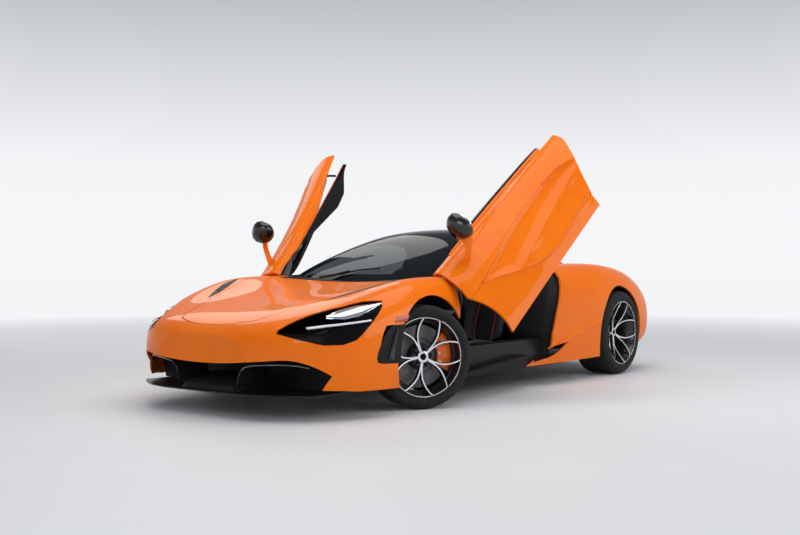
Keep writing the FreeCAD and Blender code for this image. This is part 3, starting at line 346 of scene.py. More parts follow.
# A spoke's bend: share of the rim's radius, degrees from the root's direction
SPOKE_BEND = [(0.10, 0.6), (0.17, 2.0), (0.30, 3.4), (0.42, 4.8), (0.54, 7.2), (0.66, 11.2), (0.78, 15.6),
              (0.88, 19.4), (0.955, 22.4)]
# Width of a spoke by share of the rim's radius, and of the bow that joins two spokes at the rim
SPOKE_WIDTH = [(0.10, 15), (0.20, 14), (0.35, 11), (1.0, 10)]
BOW_WIDTH, BOW_GAP = 8.5, 1.2
# Middle of each caliper along the axle, and its radius
CALIPER_MID = {"front": -1.3, "rear": -15.3}
CALIPER_R = {"front": 197.0, "rear": 190.0}


def wheel_place(end, side):
    """From a wheel's own frame to the car's frame, at rest."""
    sign = SIDES[side]
    y = FRONT_AXLE_Y + (0.0 if end == "front" else WHEELBASE)
    out = Matrix.Translation((sign * TRACK_HALF[end], y, TYRE_R[end])) @ Matrix.Diagonal((sign, 1.0, 1.0, 1.0))
    if end == "front":
        pin = Matrix.Translation((sign * (TRACK_HALF[end] - KINGPIN_INSET), y, 0.0))
        out = pin @ Matrix.Rotation(-STEER_REST, 4, "Z") @ pin.inverted() @ out
    return out


def polar(end, r, degrees):
    """Point on the face of the spokes."""
    return Vector((lerp_table(DISH[end], r), *round_point(r, degrees)))


def ribbon(bm, points, widths, depth, flare):
    """Bar with a flat machined face (material 0) and dark sides (material 1) along points in mm."""
    lip, chamfer = 1.4, 0.9
    rings = []
    for i, point in enumerate(points):
        way = points[min(i + 1, len(points) - 1)] - points[max(i - 1, 0)]
        side = Vector((0.0, -way.z, way.y)).normalized()
        w = widths[i] / 2
        section = [(-w - flare, -depth), (-w, -lip), (-w + chamfer, 0.0), (w - chamfer, 0.0), (w, -lip),
                   (w + flare, -depth)]
        rings.append([(point + side * s + Vector((x, 0, 0))) / 1000 for s, x in section])
    skin_rings(bm, rings, material=lambda j: 0 if j in (1, 2, 3) else 1)


def wheel_mesh(end):
    """Spokes in petals, each two bent bars joined by a bow, and an arc at the rim before each petal."""
    rim = RIM_R[end] * 1000
    last = SPOKE_BEND[-1][1]
    widths = [lerp_table(SPOKE_WIDTH, share) for share, _ in SPOKE_BEND]
    bm = bmesh.new()
    for i in range(PETALS):
        root = WHEEL_PHASE + PETAL_TURN * i
        there = [polar(end, rim * share, root + bend) for share, bend in SPOKE_BEND]
        back = [polar(end, rim * share, root + PETAL_TURN - bend) for share, bend in reversed(SPOKE_BEND)]
        turns = spread(root + last + BOW_GAP, root + PETAL_TURN - last - BOW_GAP, 10)
        bow = [polar(end, rim * 0.970, turn) for turn in turns]
        ribbon(bm, there + bow + back, widths + [BOW_WIDTH] * len(bow) + widths[::-1], 27.0, 3.0)
        arc = [polar(end, rim * 0.975, turn) + Vector((1.5, 0, 0)) for turn in spread(root - 20.0, root + 20.0, 10)]
        ribbon(bm, arc, [7.5] * len(arc), 14.0, 0.5)
    return facing_out(bm)


def barrel_mesh(end):
    """Rim barrel with its flanges and the drop centre of radius well."""
    f, h = RIM_R[end] * 1000, TYRE_W[end] * 500
    well = {"front": 222.0, "rear": 232.0}[end]
    bm = bmesh.new()
    revolve(bm, [(-h + 6, f), (-h + 6, f - 9), (-h + 14, f - 24), (-h + 40, well - 6), (h - 70, well - 6),
                 (h - 46, f - 22), (h - 24, f - 12), (h - 12, f - 9), (h - 7, f - 5), (h - 5, f - 2), (h - 6, f),
                 (h - 13, f), (h - 20, f - 8), (h - 46, f - 8), (h - 60, well), (-h + 42, well), (-h + 30, f - 8),
                 (-h + 22, f - 8), (-h + 14, f)], 96)
    return bm


def hub_mesh(end):
    """Hub pad with its bolts, the machined centre and the bare cap."""
    face = DISH[end][1][1]
    bolt_circle = 52
    bm = bmesh.new()
    revolve(bm, [(-34, 24), (-12, 24), (-12, 66), (-18, 72), (-34, 72)], 48, lambda j: 1, x0=face)
    revolve(bm, [(-12, 21), (0.5, 21), (1.5, 23), (1.5, 35), (0, 37), (-12, 40)], 48,
            lambda j: 0 if j in (1, 2, 3) else 1, x0=face)
    revolve(bm, [(-8, 0.5), (3.5, 0.5), (3.2, 14), (1.6, 20), (-8, 20.5)], 48, lambda j: 2, x0=face)
    for i in range(PETALS):
        revolve(bm, [(-12.5, 0.4), (-3, 0.4), (-2, 5), (-3, 8), (-7, 8.6), (-8, 11), (-12.5, 11)], 12, lambda j: 2,
                x0=face, at=round_point(bolt_circle, WHEEL_PHASE + PETAL_TURN * (i + 0.5)))
    return bm


def tyre_outline(end):
    """Tyre section from bead to bead, with four grooves round the tread; mm."""
    h, r = TYRE_W[end] * 500, TYRE_R[end] * 1000
    seat = RIM_R[end] * 1000 - 7.5
    bulge = (r + seat) / 2 - 6
    side = [(24, seat), (12, seat + 4), (9, seat + 12), (6, seat + 17), (6.5, seat + 20), (3, bulge - 12),
            (0.5, bulge), (1.5, bulge + 12), (5, bulge + 22), (9, r - 24), (13, r - 17), (19, r - 10.5), (26, r - 6),
            (35, r - 2.6), (46, r - 0.8)]
    side = [(x - h, z) for x, z in side]
    tread = []
    for centre in (-0.46, -0.16, 0.16, 0.46):
        x = centre * (h - 34) * 1.15
        tread += [(x - 6.5, r), (x - 5, r - 6), (x + 5, r - 6), (x + 6.5, r)]
    return side + tread + [(-x, z) for x, z in reversed(side)]


def tyre_mesh(end):
    """Tyre with sipes: notches along the shoulders and shallower ones across the middle of the tread."""
    h, r = TYRE_W[end] * 500, TYRE_R[end] * 1000
    shoulder = (h - 34) * 0.62
    bm = bmesh.new()

    def dent(i, x, radius):
        if radius > r - 12 and abs(x) > shoulder and i % 6 == 0:
            return 3.5
        if radius > r - 1 and abs(x) < shoulder and i % 8 == 3:
            return 2.0
        return 0.0
    revolve(bm, tyre_outline(end), 240, dent=dent)
    return bm


def caliper_mesh(end, angle):
    """Caliper over the disc's edge, a little larger than the CAD one that it covers."""
    mid, r = CALIPER_MID[end], CALIPER_R[end]
    outline = [(-41, -77.5), (-19, -77.5), (-19, 4.5), (19, 4.5), (19, -77.5), (42, -77.5), (46, -70), (47, -40),
               (46, -9), (36, 15.5), (-37, 15.5), (-41, -9)]
    span = 70.0
    rings = []
    for t in spread(0.0, 1.0, 24):
        pinch = 3.0 * max(0.0, math.cos(t * math.pi * 6)) - 1.0
        edge = 5.0 * max(0.0, abs(t - 0.5) * 8 - 3.0)
        ring = []
        for x, rise in outline:
            if x > 40:
                x += pinch - edge * 0.4
            if rise > 10:
                rise += 0.6 * pinch - edge * 0.25
            ring.append(Vector((mid + x, *round_point(r + rise, angle + span * (t - 0.5)))) / 1000)
        rings.append(ring)
    return ring_mesh(rings)


def bolts_mesh(end, angle):
    """Bolts on the caliper's outer face."""
    mid, r = CALIPER_MID[end], CALIPER_R[end]
    bm = bmesh.new()
    for offset, inset in ((-24, 16), (24, 16), (-24, 60), (24, 60), (0, 68)):
        revolve(bm, [(40, 0.4), (51, 0.4), (51.5, 3), (51, 5.5), (48, 6), (47, 8), (40, 8)], 12, x0=mid,
                at=round_point(r - inset, angle + offset))
    return bm


for end, angle in (("front", 8.0), ("rear", 172.0)):
    for side in SIDES:
        place = wheel_place(end, side)
        tag = end + "_" + side
        rides = "wheel_" + tag
        add_piece("spokes_" + tag, wheel_mesh(end), [bright_alloy, wheel_black], rides, place, 30.0,
                  ("rim_" + tag,))
        add_piece("barrel_" + tag, barrel_mesh(end), [wheel_black], rides, place)
        add_piece("hub_" + tag, hub_mesh(end), [bright_alloy, wheel_black, gloss_black], rides, place)
        add_piece("tread_" + tag, tyre_mesh(end), [tyre_rubber], rides, place, 50.0, ("tyre_" + tag,))
        carrier = "steer_" + side if end == "front" else "root"
        add_piece("caliper_" + tag, caliper_mesh(end, angle), [caliper_orange], carrier, place, 35.0)
        add_piece("caliper_bolts_" + tag, bolts_mesh(end, angle), [steel], carrier, place)


# Cabin

# Share of a pad's half width that lies flat, and that at which its edge rolls back
PAD_FLAT, PAD_ROLL = 0.45, 0.85


def shell_pad(spine, half_widths, bolsters, thickness):
    """Closed pad along a spine of (y, z) points in mm, with raised sides; x runs across it."""
    rings = []
    for i, (y, z) in enumerate(spine):
        y0, z0 = spine[max(i - 1, 0)]
        y1, z1 = spine[min(i + 1, len(spine) - 1)]
        length = math.hypot(y1 - y0, z1 - z0)
        out_y, out_z = -(z1 - z0) / length, (y1 - y0) / length
        front, back = [], []
        for u in spread(-1.0, 1.0, 14):
            rise = bolsters[i] * max(0.0, (abs(u) - PAD_FLAT) / (1.0 - PAD_FLAT)) ** 1.6
            rise -= 10.0 * max(0.0, abs(u) - PAD_ROLL) / (1.0 - PAD_ROLL)
            crown = 8.0 * max(0.0, 1.0 - (u / PAD_FLAT) ** 2)
            depth = thickness[i] * (1.0 - 0.35 * abs(u) ** 4)
            x = half_widths[i] * u
            front.append((x, y + out_y * (rise + crown), z + out_z * (rise + crown)))
            back.append((x * 0.96, y + out_y * (rise * 0.6 - depth), z + out_z * (rise * 0.6 - depth)))
        rings.append([Vector(p) / 1000 for p in front + back[::-1]])
    return ring_mesh(rings)


def tube(bm, points, radius, sides=8):
    """Round bar along points; radius is one value or one for each point."""
    rings = []
    count = len(points)
    for i, point in enumerate(points):
        way = (Vector(points[min(i + 1, count - 1)]) - Vector(points[max(i - 1, 0)])).normalized()
        guide = Vector((0, 0, 1)) if abs(way.z) < 0.9 else Vector((1, 0, 0))
        a = way.cross(guide).normalized()
        b = way.cross(a).normalized()
        r = radius[i] if isinstance(radius, list) else radius
        rings.append([Vector(point) + a * r * cosine + b * r * sine for cosine, sine in circle(sides)])
    skin_rings(bm, rings)


def smooth_path(points, steps):
    """Catmull-Rom curve through points, with steps from one to the next."""
    pts = [Vector(p) for p in points]
    pts = [pts[0] * 2 - pts[1]] + pts + [pts[-1] * 2 - pts[-2]]
    out = []
    for a, b, c, d in zip(pts[:-3], pts[1:-2], pts[2:-1], pts[3:]):
        for k in range(steps):
            t = k / steps
            out.append(0.5 * (2 * b + (c - a) * t + (2 * a - 5 * b + 4 * c - d) * t * t
                              + (3 * b - a - 3 * c + d) * t ** 3))
    out.append(pts[-2])
    return out


def soften(piece):
    """Subdivision surface of two levels on a piece."""
    modifier = piece.modifiers.new("round", "SUBSURF")
    modifier.levels = modifier.render_levels = 2


SEAT_X = 0.380
PIPING_X, PIPING_R = 78, 0.0022
CUSHION_LINE = [(975, 300), (990, 322), (1040, 330), (1150, 318), (1260, 300), (1360, 288), (1420, 290)]
BACK_LINE = [(1428, 318), (1446, 400), (1480, 500), (1520, 600), (1560, 690), (1592, 760), (1618, 812), (1640, 862),
             (1652, 900)]
for side, sign in SIDES.items():
    place = Matrix.Translation((sign * SEAT_X, FRONT_AXLE_Y, 0.0))
    pad = shell_pad(CUSHION_LINE, [150, 165, 170, 172, 172, 170, 160], [20, 34, 46, 52, 56, 56, 50],
                    [60, 84, 96, 96, 88, 76, 60])
    cushion = add_piece("cushion_" + side, pad, [hide], "root", place, 180.0, ("seats",))
    soften(cushion)
    pad = shell_pad(BACK_LINE, [165, 172, 178, 190, 196, 178, 140, 112, 96], [60, 66, 70, 64, 46, 26, 14, 10, 6],
                    [54, 60, 62, 60, 58, 56, 56, 54, 40])
    back = add_piece("backrest_" + side, pad, [hide], "root", place, 180.0)
    soften(back)
    bm = bmesh.new()
    for x in (-PIPING_X, PIPING_X):
        line = [Vector((x * (1.0 + 0.1 * math.sin(k)), y - 11, z + 4)) / 1000
                for k, (y, z) in enumerate(BACK_LINE[:7])]
        tube(bm, smooth_path(line, 6), PIPING_R, 6)
        line = [Vector((x, y, z + 9)) / 1000 for y, z in CUSHION_LINE[1:-1]]
        tube(bm, smooth_path(line, 6), PIPING_R, 6)
    add_piece("seat_piping_" + side, bm, [caliper_orange], "root", place, 180.0)


# Body and canopy surfaces, from the tables that the solids are made from; millimetres, s behind the front axle

# Station, x and z of each point from the foot upwards, and z in the middle
BODY = [
    (-1090, 330, 190, 360, 230, 370, 300, 370, 370, 350, 430, 300, 470, 200, 485, 100, 490, 490),
    (-1062, 430, 180, 480, 225, 500, 300, 500, 380, 480, 450, 400, 500, 270, 515, 130, 522, 524),
    (-1000, 560, 172, 605, 215, 618, 300, 618, 390, 604, 470, 530, 535, 370, 555, 190, 560, 560),
    (-880, 730, 168, 770, 210, 783, 300, 782, 400, 763, 500, 678, 575, 490, 595, 250, 600, 600),
    (-700, 870, 166, 893, 210, 902, 300, 896, 420, 862, 550, 765, 640, 560, 648, 280, 642, 640),
    (-500, 930, 165, 945, 210, 950, 310, 948, 440, 920, 590, 820, 715, 600, 705, 300, 682, 674),
    (-300, 945, 165, 958, 210, 962, 320, 962, 470, 945, 640, 835, 790, 610, 752, 300, 715, 702),
    (-100, 945, 160, 958, 210, 964, 330, 966, 500, 952, 690, 838, 838, 610, 782, 300, 742, 727),
    (100, 935, 160, 948, 210, 954, 330, 956, 500, 945, 700, 835, 850, 610, 800, 300, 766, 752),
    (300, 905, 160, 920, 210, 930, 330, 930, 500, 925, 680, 830, 848, 640, 812, 320, 788, 777),
    (600, 878, 160, 900, 210, 915, 340, 895, 500, 880, 660, 800, 845, 640, 838, 320, 828, 820),
    (1000, 868, 160, 892, 210, 915, 350, 878, 520, 860, 680, 788, 850, 640, 858, 320, 868, 868),
    (1400, 868, 160, 892, 210, 920, 360, 888, 530, 868, 700, 792, 864, 620, 872, 320, 886, 890),
    (1800, 885, 160, 905, 215, 935, 360, 925, 530, 904, 712, 802, 890, 600, 895, 300, 905, 910),
    (2100, 915, 165, 932, 220, 950, 350, 955, 520, 940, 710, 800, 912, 590, 915, 290, 922, 925),
    (2400, 930, 170, 948, 230, 962, 350, 970, 520, 962, 720, 815, 928, 590, 925, 290, 928, 930),
    (2700, 930, 190, 948, 250, 962, 360, 970, 520, 962, 715, 810, 922, 590, 920, 290, 922, 922),
    (3000, 915, 220, 935, 270, 950, 370, 955, 520, 940, 690, 790, 890, 590, 900, 290, 900, 898),
    (3250, 880, 260, 905, 300, 920, 390, 920, 520, 895, 660, 760, 835, 570, 855, 280, 862, 862),
    (3400, 820, 300, 850, 335, 862, 410, 862, 510, 840, 620, 720, 775, 540, 800, 270, 812, 814),
    (3449, 740, 340, 770, 370, 780, 430, 780, 505, 760, 590, 660, 720, 500, 745, 250, 755, 757),
]
CANOPY = [
    (700, 765, 760, 738, 850, 648, 945, 520, 978, 350, 990, 170, 994, 995),
    (950, 755, 770, 725, 870, 618, 1012, 500, 1068, 340, 1090, 170, 1100, 1101),
    (1200, 745, 780, 712, 880, 600, 1052, 480, 1132, 330, 1162, 160, 1172, 1175),
    (1500, 738, 780, 704, 885, 592, 1070, 475, 1155, 320, 1188, 160, 1198, 1200),
    (1800, 730, 780, 698, 885, 590, 1055, 470, 1140, 310, 1175, 155, 1186, 1188),
    (2100, 705, 780, 672, 880, 565, 1010, 440, 1080, 290, 1110, 145, 1120, 1122),
]
FINE_STEPS = 40


class Skin:
    """Left half of a smooth surface over a table of sections, as the solids have it: cubic B-splines both ways."""

    def __init__(self, table):
        rows = []
        for s, *flat, centre_z in table:
            half = [Vector((x, s, z)) for x, z in zip(flat[::2], flat[1::2])] + [Vector((0.0, s, centre_z))]
            first = half[0] * 2 - half[1]
            rows.append([first] + half + [Vector((-half[-2].x, s, half[-2].z))])
        before, after = ([a * 2 - b for a, b in zip(*pair)] for pair in (rows[:2], rows[:-3:-1]))
        self.rows = [before] + rows + [after]
        self.around = len(table[0]) // 2 - 1
        self.fine = []
        for k in range((len(self.rows) - 3) * FINE_STEPS + 1):
            i = min(k // FINE_STEPS, len(self.rows) - 4)
            weights = self.weights(k / FINE_STEPS - i)
            self.fine.append(sum(w * self.rows[i + m][0].y for m, w in enumerate(weights)))

    @staticmethod
    def weights(t):
        """Shares of four neighbouring points at t of a uniform cubic B-spline."""
        return ((1 - t) ** 3 / 6, (3 * t ** 3 - 6 * t * t + 4) / 6, (-3 * t ** 3 + 3 * t * t + 3 * t + 1) / 6,
                t ** 3 / 6)

    def row_at(self, s):
        """Row number and share whose station is s."""
        k = max(1, min(bisect.bisect_left(self.fine, s), len(self.fine) - 1))
        low, high = self.fine[k - 1], self.fine[k]
        return (k - 1 + max(0.0, min(1.0, (s - low) / (high - low)))) / FINE_STEPS

    def point(self, s, b):
        """Point at station s and section parameter b, which runs from the foot (0) to the middle of the top."""
        a = self.row_at(s)
        i = min(int(a), len(self.rows) - 4)
        j = max(0, min(int(b), self.around - 1))
        wa, wb = self.weights(a - i), self.weights(b - j)
        out = Vector((0.0, 0.0, 0.0))
        for k in range(4):
            for m in range(4):
                out += self.rows[i + k][j + m] * (wa[k] * wb[m])
        return out

    def normal(self, s, b):
        lengthwise = self.point(s + 4.0, b) - self.point(s - 4.0, b)
        around = self.point(s, min(b + 0.03, self.around - 0.001)) - self.point(s, max(b - 0.03, 0.0))
        return around.cross(lengthwise).normalized() * -1.0

    def lifted(self, s, b, lift):
        """Point that stands lift off the surface."""
        return self.point(s, b) + self.normal(s, b) * lift

    def find(self, s, test, low, high):
        """Section parameter between low and high at which test(point) changes from true to false."""
        for _ in range(14):
            mid = (low + high) / 2
            if test(self.point(s, mid)):
                low = mid
            else:
                high = mid
        return (low + high) / 2


hull = Skin(BODY)
canopy = Skin(CANOPY)

TO_FRAME = Matrix.Translation((0.0, FRONT_AXLE_Y, 0.0)) @ Matrix.Scale(0.001, 4)


# Doors, drawn closed and on the left in mm, then opened

DOOR_OPEN = math.radians(55.1)
HINGE_AT = Vector((625.0, 400.0, 837.0))
HINGE_DIR = Vector((-1.179, 1.0, 0.877)).normalized()
DOOR_ARC_R = 391.0
# Front and rear edge (z, s), edge of the belt and top edge of the skin (s, x)
DOOR_FRONT = [(553, 319), (625, 336), (700, 342), (770, 350), (850, 360), (1000, 366)]
DOOR_REAR = [(300, 1545), (380, 1556), (560, 1650), (705, 1735), (800, 1795), (960, 1840)]
DOOR_BELT = [(300, 740), (450, 740), (650, 706), (1000, 690), (1500, 668), (1900, 655)]
DOOR_EDGE = [(300, 740), (450, 740), (650, 706), (1000, 690), (1120, 690), (1300, 708), (1500, 740), (1700, 756),
             (1900, 764)]
SKIN_T = 18.0
# From TOP_SHARE of its height upwards the skin turns in, and its ends are looked up no lower than TOP_Z; past
# section parameter BELT_B it lies on the belt, without creases
TOP_SHARE, TOP_Z, BELT_B = 0.72, 700.0, 5.2
# Creases and the shoulder's step along the skin (s, z)
CREASE_TOP = [(380, 540), (503, 556), (755, 615), (990, 660), (1181, 682), (1374, 698), (1535, 695), (1663, 662),
              (1760, 640)]
CREASE_MID = [(380, 330), (734, 417), (959, 460), (1193, 508), (1423, 554), (1647, 602), (1760, 628)]
CREASE_LOW = [(330, 590), (446, 560), (623, 482), (734, 417), (863, 366), (977, 341), (1102, 345), (1268, 368),
              (1454, 405), (1600, 440)]
SHOULDER_STEP = [(330, 745), (412, 747), (722, 768), (1134, 820), (1500, 852), (1850, 880)]
# Heights of the ridges along the creases, and depths of the hollow, the shoulder's step and the belt's strip
RIDGE_TOP, RIDGE_MID, RIDGE_LOW, HOLLOW, STEP_DOWN, BELT_DOWN = 13.0, 11.0, 9.0, 11.0, 5.0, 7.0


def mirrored(side):
    return Matrix.Diagonal((SIDES[side], 1.0, 1.0, 1.0))


def opened_place(side):
    """From the closed door's frame in mm to the car's frame with the door open."""
    hinge = Matrix.Translation(HINGE_AT) @ Matrix.Rotation(-DOOR_OPEN, 4, HINGE_DIR) @ Matrix.Translation(-HINGE_AT)
    return mirrored(side) @ TO_FRAME @ hinge


def front_of_door(z):
    if z < DOOR_FRONT[0][0]:
        return math.sqrt(DOOR_ARC_R ** 2 - (z - TYRE_R["front"] * 1000) ** 2)
    return lerp_table(DOOR_FRONT, z)


def foot_of_door(s):
    return 190.0 + (s - 366.0) * 110.0 / 1179.0


# Section parameters of the skin's foot and top edge by station
DOOR_B = ([], [])
for s in range(300, 1901, 50):
    DOOR_B[0].append((s, hull.find(s, lambda p: p.z < foot_of_door(s), 0.0, 4.0)))
    DOOR_B[1].append((s, hull.find(s, lambda p: p.x > lerp_table(DOOR_EDGE, s), 4.0, 8.0)))


def door_b(s, t):
    """Section parameter at share t of the way from the skin's foot to its top edge."""
    return lerp_table(DOOR_B[0], s) * (1 - t) + lerp_table(DOOR_B[1], s) * t


def step_up(value, low, high):
    t = max(0.0, min(1.0, (value - low) / (high - low)))
    return t * t * (3 - 2 * t)


def tent(distance, width):
    return max(0.0, 1.0 - distance / width)


def crease_height(s, z):
    """How far the door's skin stands off the plain surface, for its ridges and hollow."""
    top, mid, low = lerp_table(CREASE_TOP, s), lerp_table(CREASE_MID, s), lerp_table(CREASE_LOW, s)
    if z > top:
        out = RIDGE_TOP * tent(z - top, 170.0)
    elif z > max(mid, low):
        share = (z - max(mid, low)) / max(top - max(mid, low), 1.0)
        out = RIDGE_TOP * tent(1.0 - share, 0.14) + RIDGE_MID * tent(share, 0.5)
        out -= HOLLOW * math.sin(math.pi * share) ** 0.7
    elif z > low:
        out = RIDGE_MID * tent(mid - z, 45.0) + RIDGE_LOW * tent(z - low, 70.0)
    else:
        out = (11.0 * tent(low - z, 14.0) + 6.0 * tent(low - z, 60.0)) * step_up(s, 380.0, 480.0)
    return out - STEP_DOWN * step_up(z - lerp_table(SHOULDER_STEP, s), 0.0, 14.0)


def door_point(r, t):
    """Point of the door's skin: r from front to rear, t from its foot to its top edge."""
    s = 400.0 + 1250.0 * r
    for _ in range(5):
        z = hull.point(s, door_b(s, t)).z
        if t > TOP_SHARE:
            z = max(z, TOP_Z)
        s = front_of_door(z) * (1 - r) + lerp_table(DOOR_REAR, z) * r
    b = door_b(s, t)
    edge = min(step_up(r, 0.0, 0.05), 1.0 - step_up(r, 0.95, 1.0), step_up(t, 0.0, 0.06), 1.0 - step_up(t, 0.97, 1.0))
    if b < BELT_B:
        lift = crease_height(s, hull.point(s, b).z) * (0.15 + 0.85 * edge)
    else:
        lift = -BELT_DOWN * (0.3 + 0.7 * edge)
    return hull.lifted(s, b, lift)


def door_skin_mesh(steps=120, up=140):
    """Closed shell of the door's outer skin, with its edges turned in."""
    outer = [[door_point(r, t) for t in spread(0.0, 1.0, up)] for r in spread(0.0, 1.0, steps)]
    inner = [[p - hull.normal(p.y, door_b(p.y, j / up)) * SKIN_T for j, p in enumerate(row)] for row in outer]
    bm = bmesh.new()
    outer, inner = ([[bm.verts.new(p) for p in row] for row in grid] for grid in (outer, inner))
    for i in range(steps):
        for j in range(up):
            bm.faces.new((outer[i][j], outer[i][j + 1], outer[i + 1][j + 1], outer[i + 1][j]))
            bm.faces.new((inner[i][j], inner[i + 1][j], inner[i + 1][j + 1], inner[i][j + 1]))
    border = [(i, 0) for i in range(steps)] + [(steps, j) for j in range(up)]
    border += [(i, up) for i in range(steps, 0, -1)] + [(0, j) for j in range(up, 0, -1)]
    for (i0, j0), (i1, j1) in zip(border, border[1:] + border[:1]):
        bm.faces.new((outer[i0][j0], outer[i1][j1], inner[i1][j1], inner[i0][j0]))
    return facing_out(bm)


CARD_OUTLINE = [(450, 420), (440, 560), (420, 690), (430, 770), (620, 790), (1000, 812), (1400, 828), (1640, 830),
                (1610, 700), (1560, 570), (1500, 430), (1200, 392), (800, 380)]
# Rings of the card from the skin inwards: distance from the car's middle, share of the outline's size
CARD_RINGS = [(868, 1.0), (800, 1.0), (770, 0.985), (748, 0.94), (735, 0.86), (728, 0.74), (730, 0.55), (738, 0.45),
              (736, 0.30), (728, 0.12)]
# The first ring stays this far inside the skin, and each further ring this much more
CARD_GAP, CARD_GAP_STEP = 36.0, 4.0


def door_card_mesh():
    """Inner panel: a dark crowned pad that stands in from the skin."""
    count = len(CARD_OUTLINE)
    cy, cz = (sum(p[k] for p in CARD_OUTLINE) / count for k in (0, 1))
    path = smooth_path([Vector((0, y, z)) for y, z in CARD_OUTLINE + CARD_OUTLINE[:1]], 6)[:-1]
    rings = []
    for number, (x, share) in enumerate(CARD_RINGS):
        ring = [Vector((x, cy + (p.y - cy) * share, cz + (p.z - cz) * share)) for p in path]
        for p in ring:
            skin_x = hull.point(p.y, hull.find(p.y, lambda q: q.z < p.z, 0.0, 5.5)).x
            p.x = min(p.x, skin_x - CARD_GAP - CARD_GAP_STEP * number)
        rings.append(ring)
    return ring_mesh(rings)


# Grab bar, armrest roll and the strut at the door's tip: points, smoothing steps, radius, sides
PULL_BARS = [
    ([(742, 760, 560), (706, 790, 585), (700, 900, 610), (704, 1040, 622), (742, 1075, 615)], 6, 13.0, 10),
    ([(748, 700, 470), (722, 800, 478), (716, 1050, 492), (722, 1300, 505), (748, 1380, 508)], 6, 24.0, 12),
    ([(752, 1560, 842), (722, 1575, 850), (672, 1590, 858)], 4, 9.0, 10),
]


def pull_mesh():
    bm = bmesh.new()
    for points, steps, radius, sides in PULL_BARS:
        tube(bm, smooth_path(points, steps), radius, sides)
    return bm


# The windscreen pillar's outer edge with the door closed (s, x), and the belt strip's clearance from it
PILLAR_EDGE = [(380, 742), (440, 736), (620, 686), (820, 632), (1020, 578), (1200, 530)]
PILLAR_GAP = 13.0
# The strip's first and last station, and its steps
STRIP = (560.0, 1718.0, 43)


def belt_strip_mesh():
    """Orange inner edge of the door over its belt, and the dark pane that leans in from it."""
    rings = []
    for k, s in enumerate(spread(*STRIP)):
        x = lerp_table(DOOR_BELT, s) - 3.0
        z = hull.point(s, hull.find(s, lambda p: p.x > x, 4.0, 8.0)).z
        rise = 30.0 * math.sin(math.pi * (k + 1.5) / 46.0) ** 0.5
        wide = 6.0 + 142.0 * step_up(k, 0.0, 9.0) * (1.0 - 0.86 * step_up(k, 24.0, 43.0))
        pillar = lerp_table(PILLAR_EDGE, s) + PILLAR_GAP
        top = z + rise * 0.55
        ring = [(x - 16, z - 26), (x, z - 26), (x + 1, z - 2), (x - rise * 0.18, top), (x - rise * 0.2 - 4, top),
                (x - rise * 0.3 - 4, z + rise), (x - wide * 0.5 - 9, z + rise + 6), (x - wide - 9, z + rise + 3),
                (x - wide - 9, z + rise - 4), (x - wide * 0.5 - 9, z + rise - 1), (x - 16, z)]
        rings.append([(max(px, pillar), s, pz) for px, pz in ring])
    bm = bmesh.new()
    skin_rings(bm, rings, material=lambda j: 0 if j in (1, 2, 3) else 1)
    return facing_out(bm)


def hinge_mesh():
    """Door arm and its eye on the hinge pin."""
    bm = bmesh.new()
    eye = HINGE_AT + HINGE_DIR * -167.5
    tube(bm, [eye + HINGE_DIR * way for way in (-37, -30, 30, 37)], [18.0, 21.0, 21.0, 18.0], 20)
    tube(bm, smooth_path([eye, (765, 365, 695), (800, 420, 665), (838, 480, 640)], 6), 14.0, 12)
    return bm


for side in SIDES:
    place = opened_place(side)
    rides = "door_" + side
    add_piece("door_skin_" + side, door_skin_mesh(), [body_paint], rides, place, 22.0,
              ("door_" + side,))
    add_piece("door_card_" + side, door_card_mesh(), [hide], rides, place, 50.0)
    add_piece("door_pull_" + side, pull_mesh(), [black_trim], rides, place)
    add_piece("door_belt_" + side, belt_strip_mesh(), [body_paint, gloss_black], rides, place,
              stands_for=("door_glass_" + side,))
    add_piece("door_arm_" + side, hinge_mesh(), [alloy], rides, place)


# Roof rails over the side windows: upper edge of the window (s, z), inner edge of the rail (s, x)
RAIL_TOP = [(1080, 1061), (1100, 1066), (1250, 1084), (1400, 1092), (1530, 1084), (1660, 1062), (1730, 1020),
            (1775, 990), (1788, 925), (1816, 916)]
RAIL_IN = [(1060, 553), (1100, 544), (1200, 516), (1212, 306), (1820, 306)]
# The rail's first and last station and its steps, and its thickness
RAIL, RAIL_T = (1084.0, 1814.0, 48), 24.0


def rail_mesh():
    rings = []
    for s in spread(*RAIL):
        low = canopy.find(s, lambda p: p.z < lerp_table(RAIL_TOP, s), 0.0, 5.0)
        high = canopy.find(s, lambda p: p.x > lerp_table(RAIL_IN, s), 0.0, 6.0)
        high = max(high, low + 0.02)
        across = spread(low, high, 12)
        rings.append([canopy.point(s, b) for b in across] + [canopy.lifted(s, b, -RAIL_T) for b in across[::-1]])
    return ring_mesh(rings)


for side in SIDES:
    add_piece("roof_rail_" + side, rail_mesh(), [gloss_black], "root", TO_FRAME @ mirrored(side))


# Details laid on the body's surface; millimetres, on the left, then on both sides

def on_side(s, z, lift):
    return hull.lifted(s, hull.find(s, lambda p: p.z < z, 0.0, 6.0), lift)


def on_top(s, x, lift):
    return hull.lifted(s, hull.find(s, lambda p: p.x > x, 3.5, 8.0), lift)


def along(points, t):
    """Point at share t of a flat path's length."""
    lengths = [math.dist(a, b) for a, b in zip(points, points[1:])]
    left = t * sum(lengths)
    for a, b, length in zip(points, points[1:], lengths):
        if left <= length:
            return tuple(p + (q - p) * left / length for p, q in zip(a, b))
        left -= length
    return points[-1]


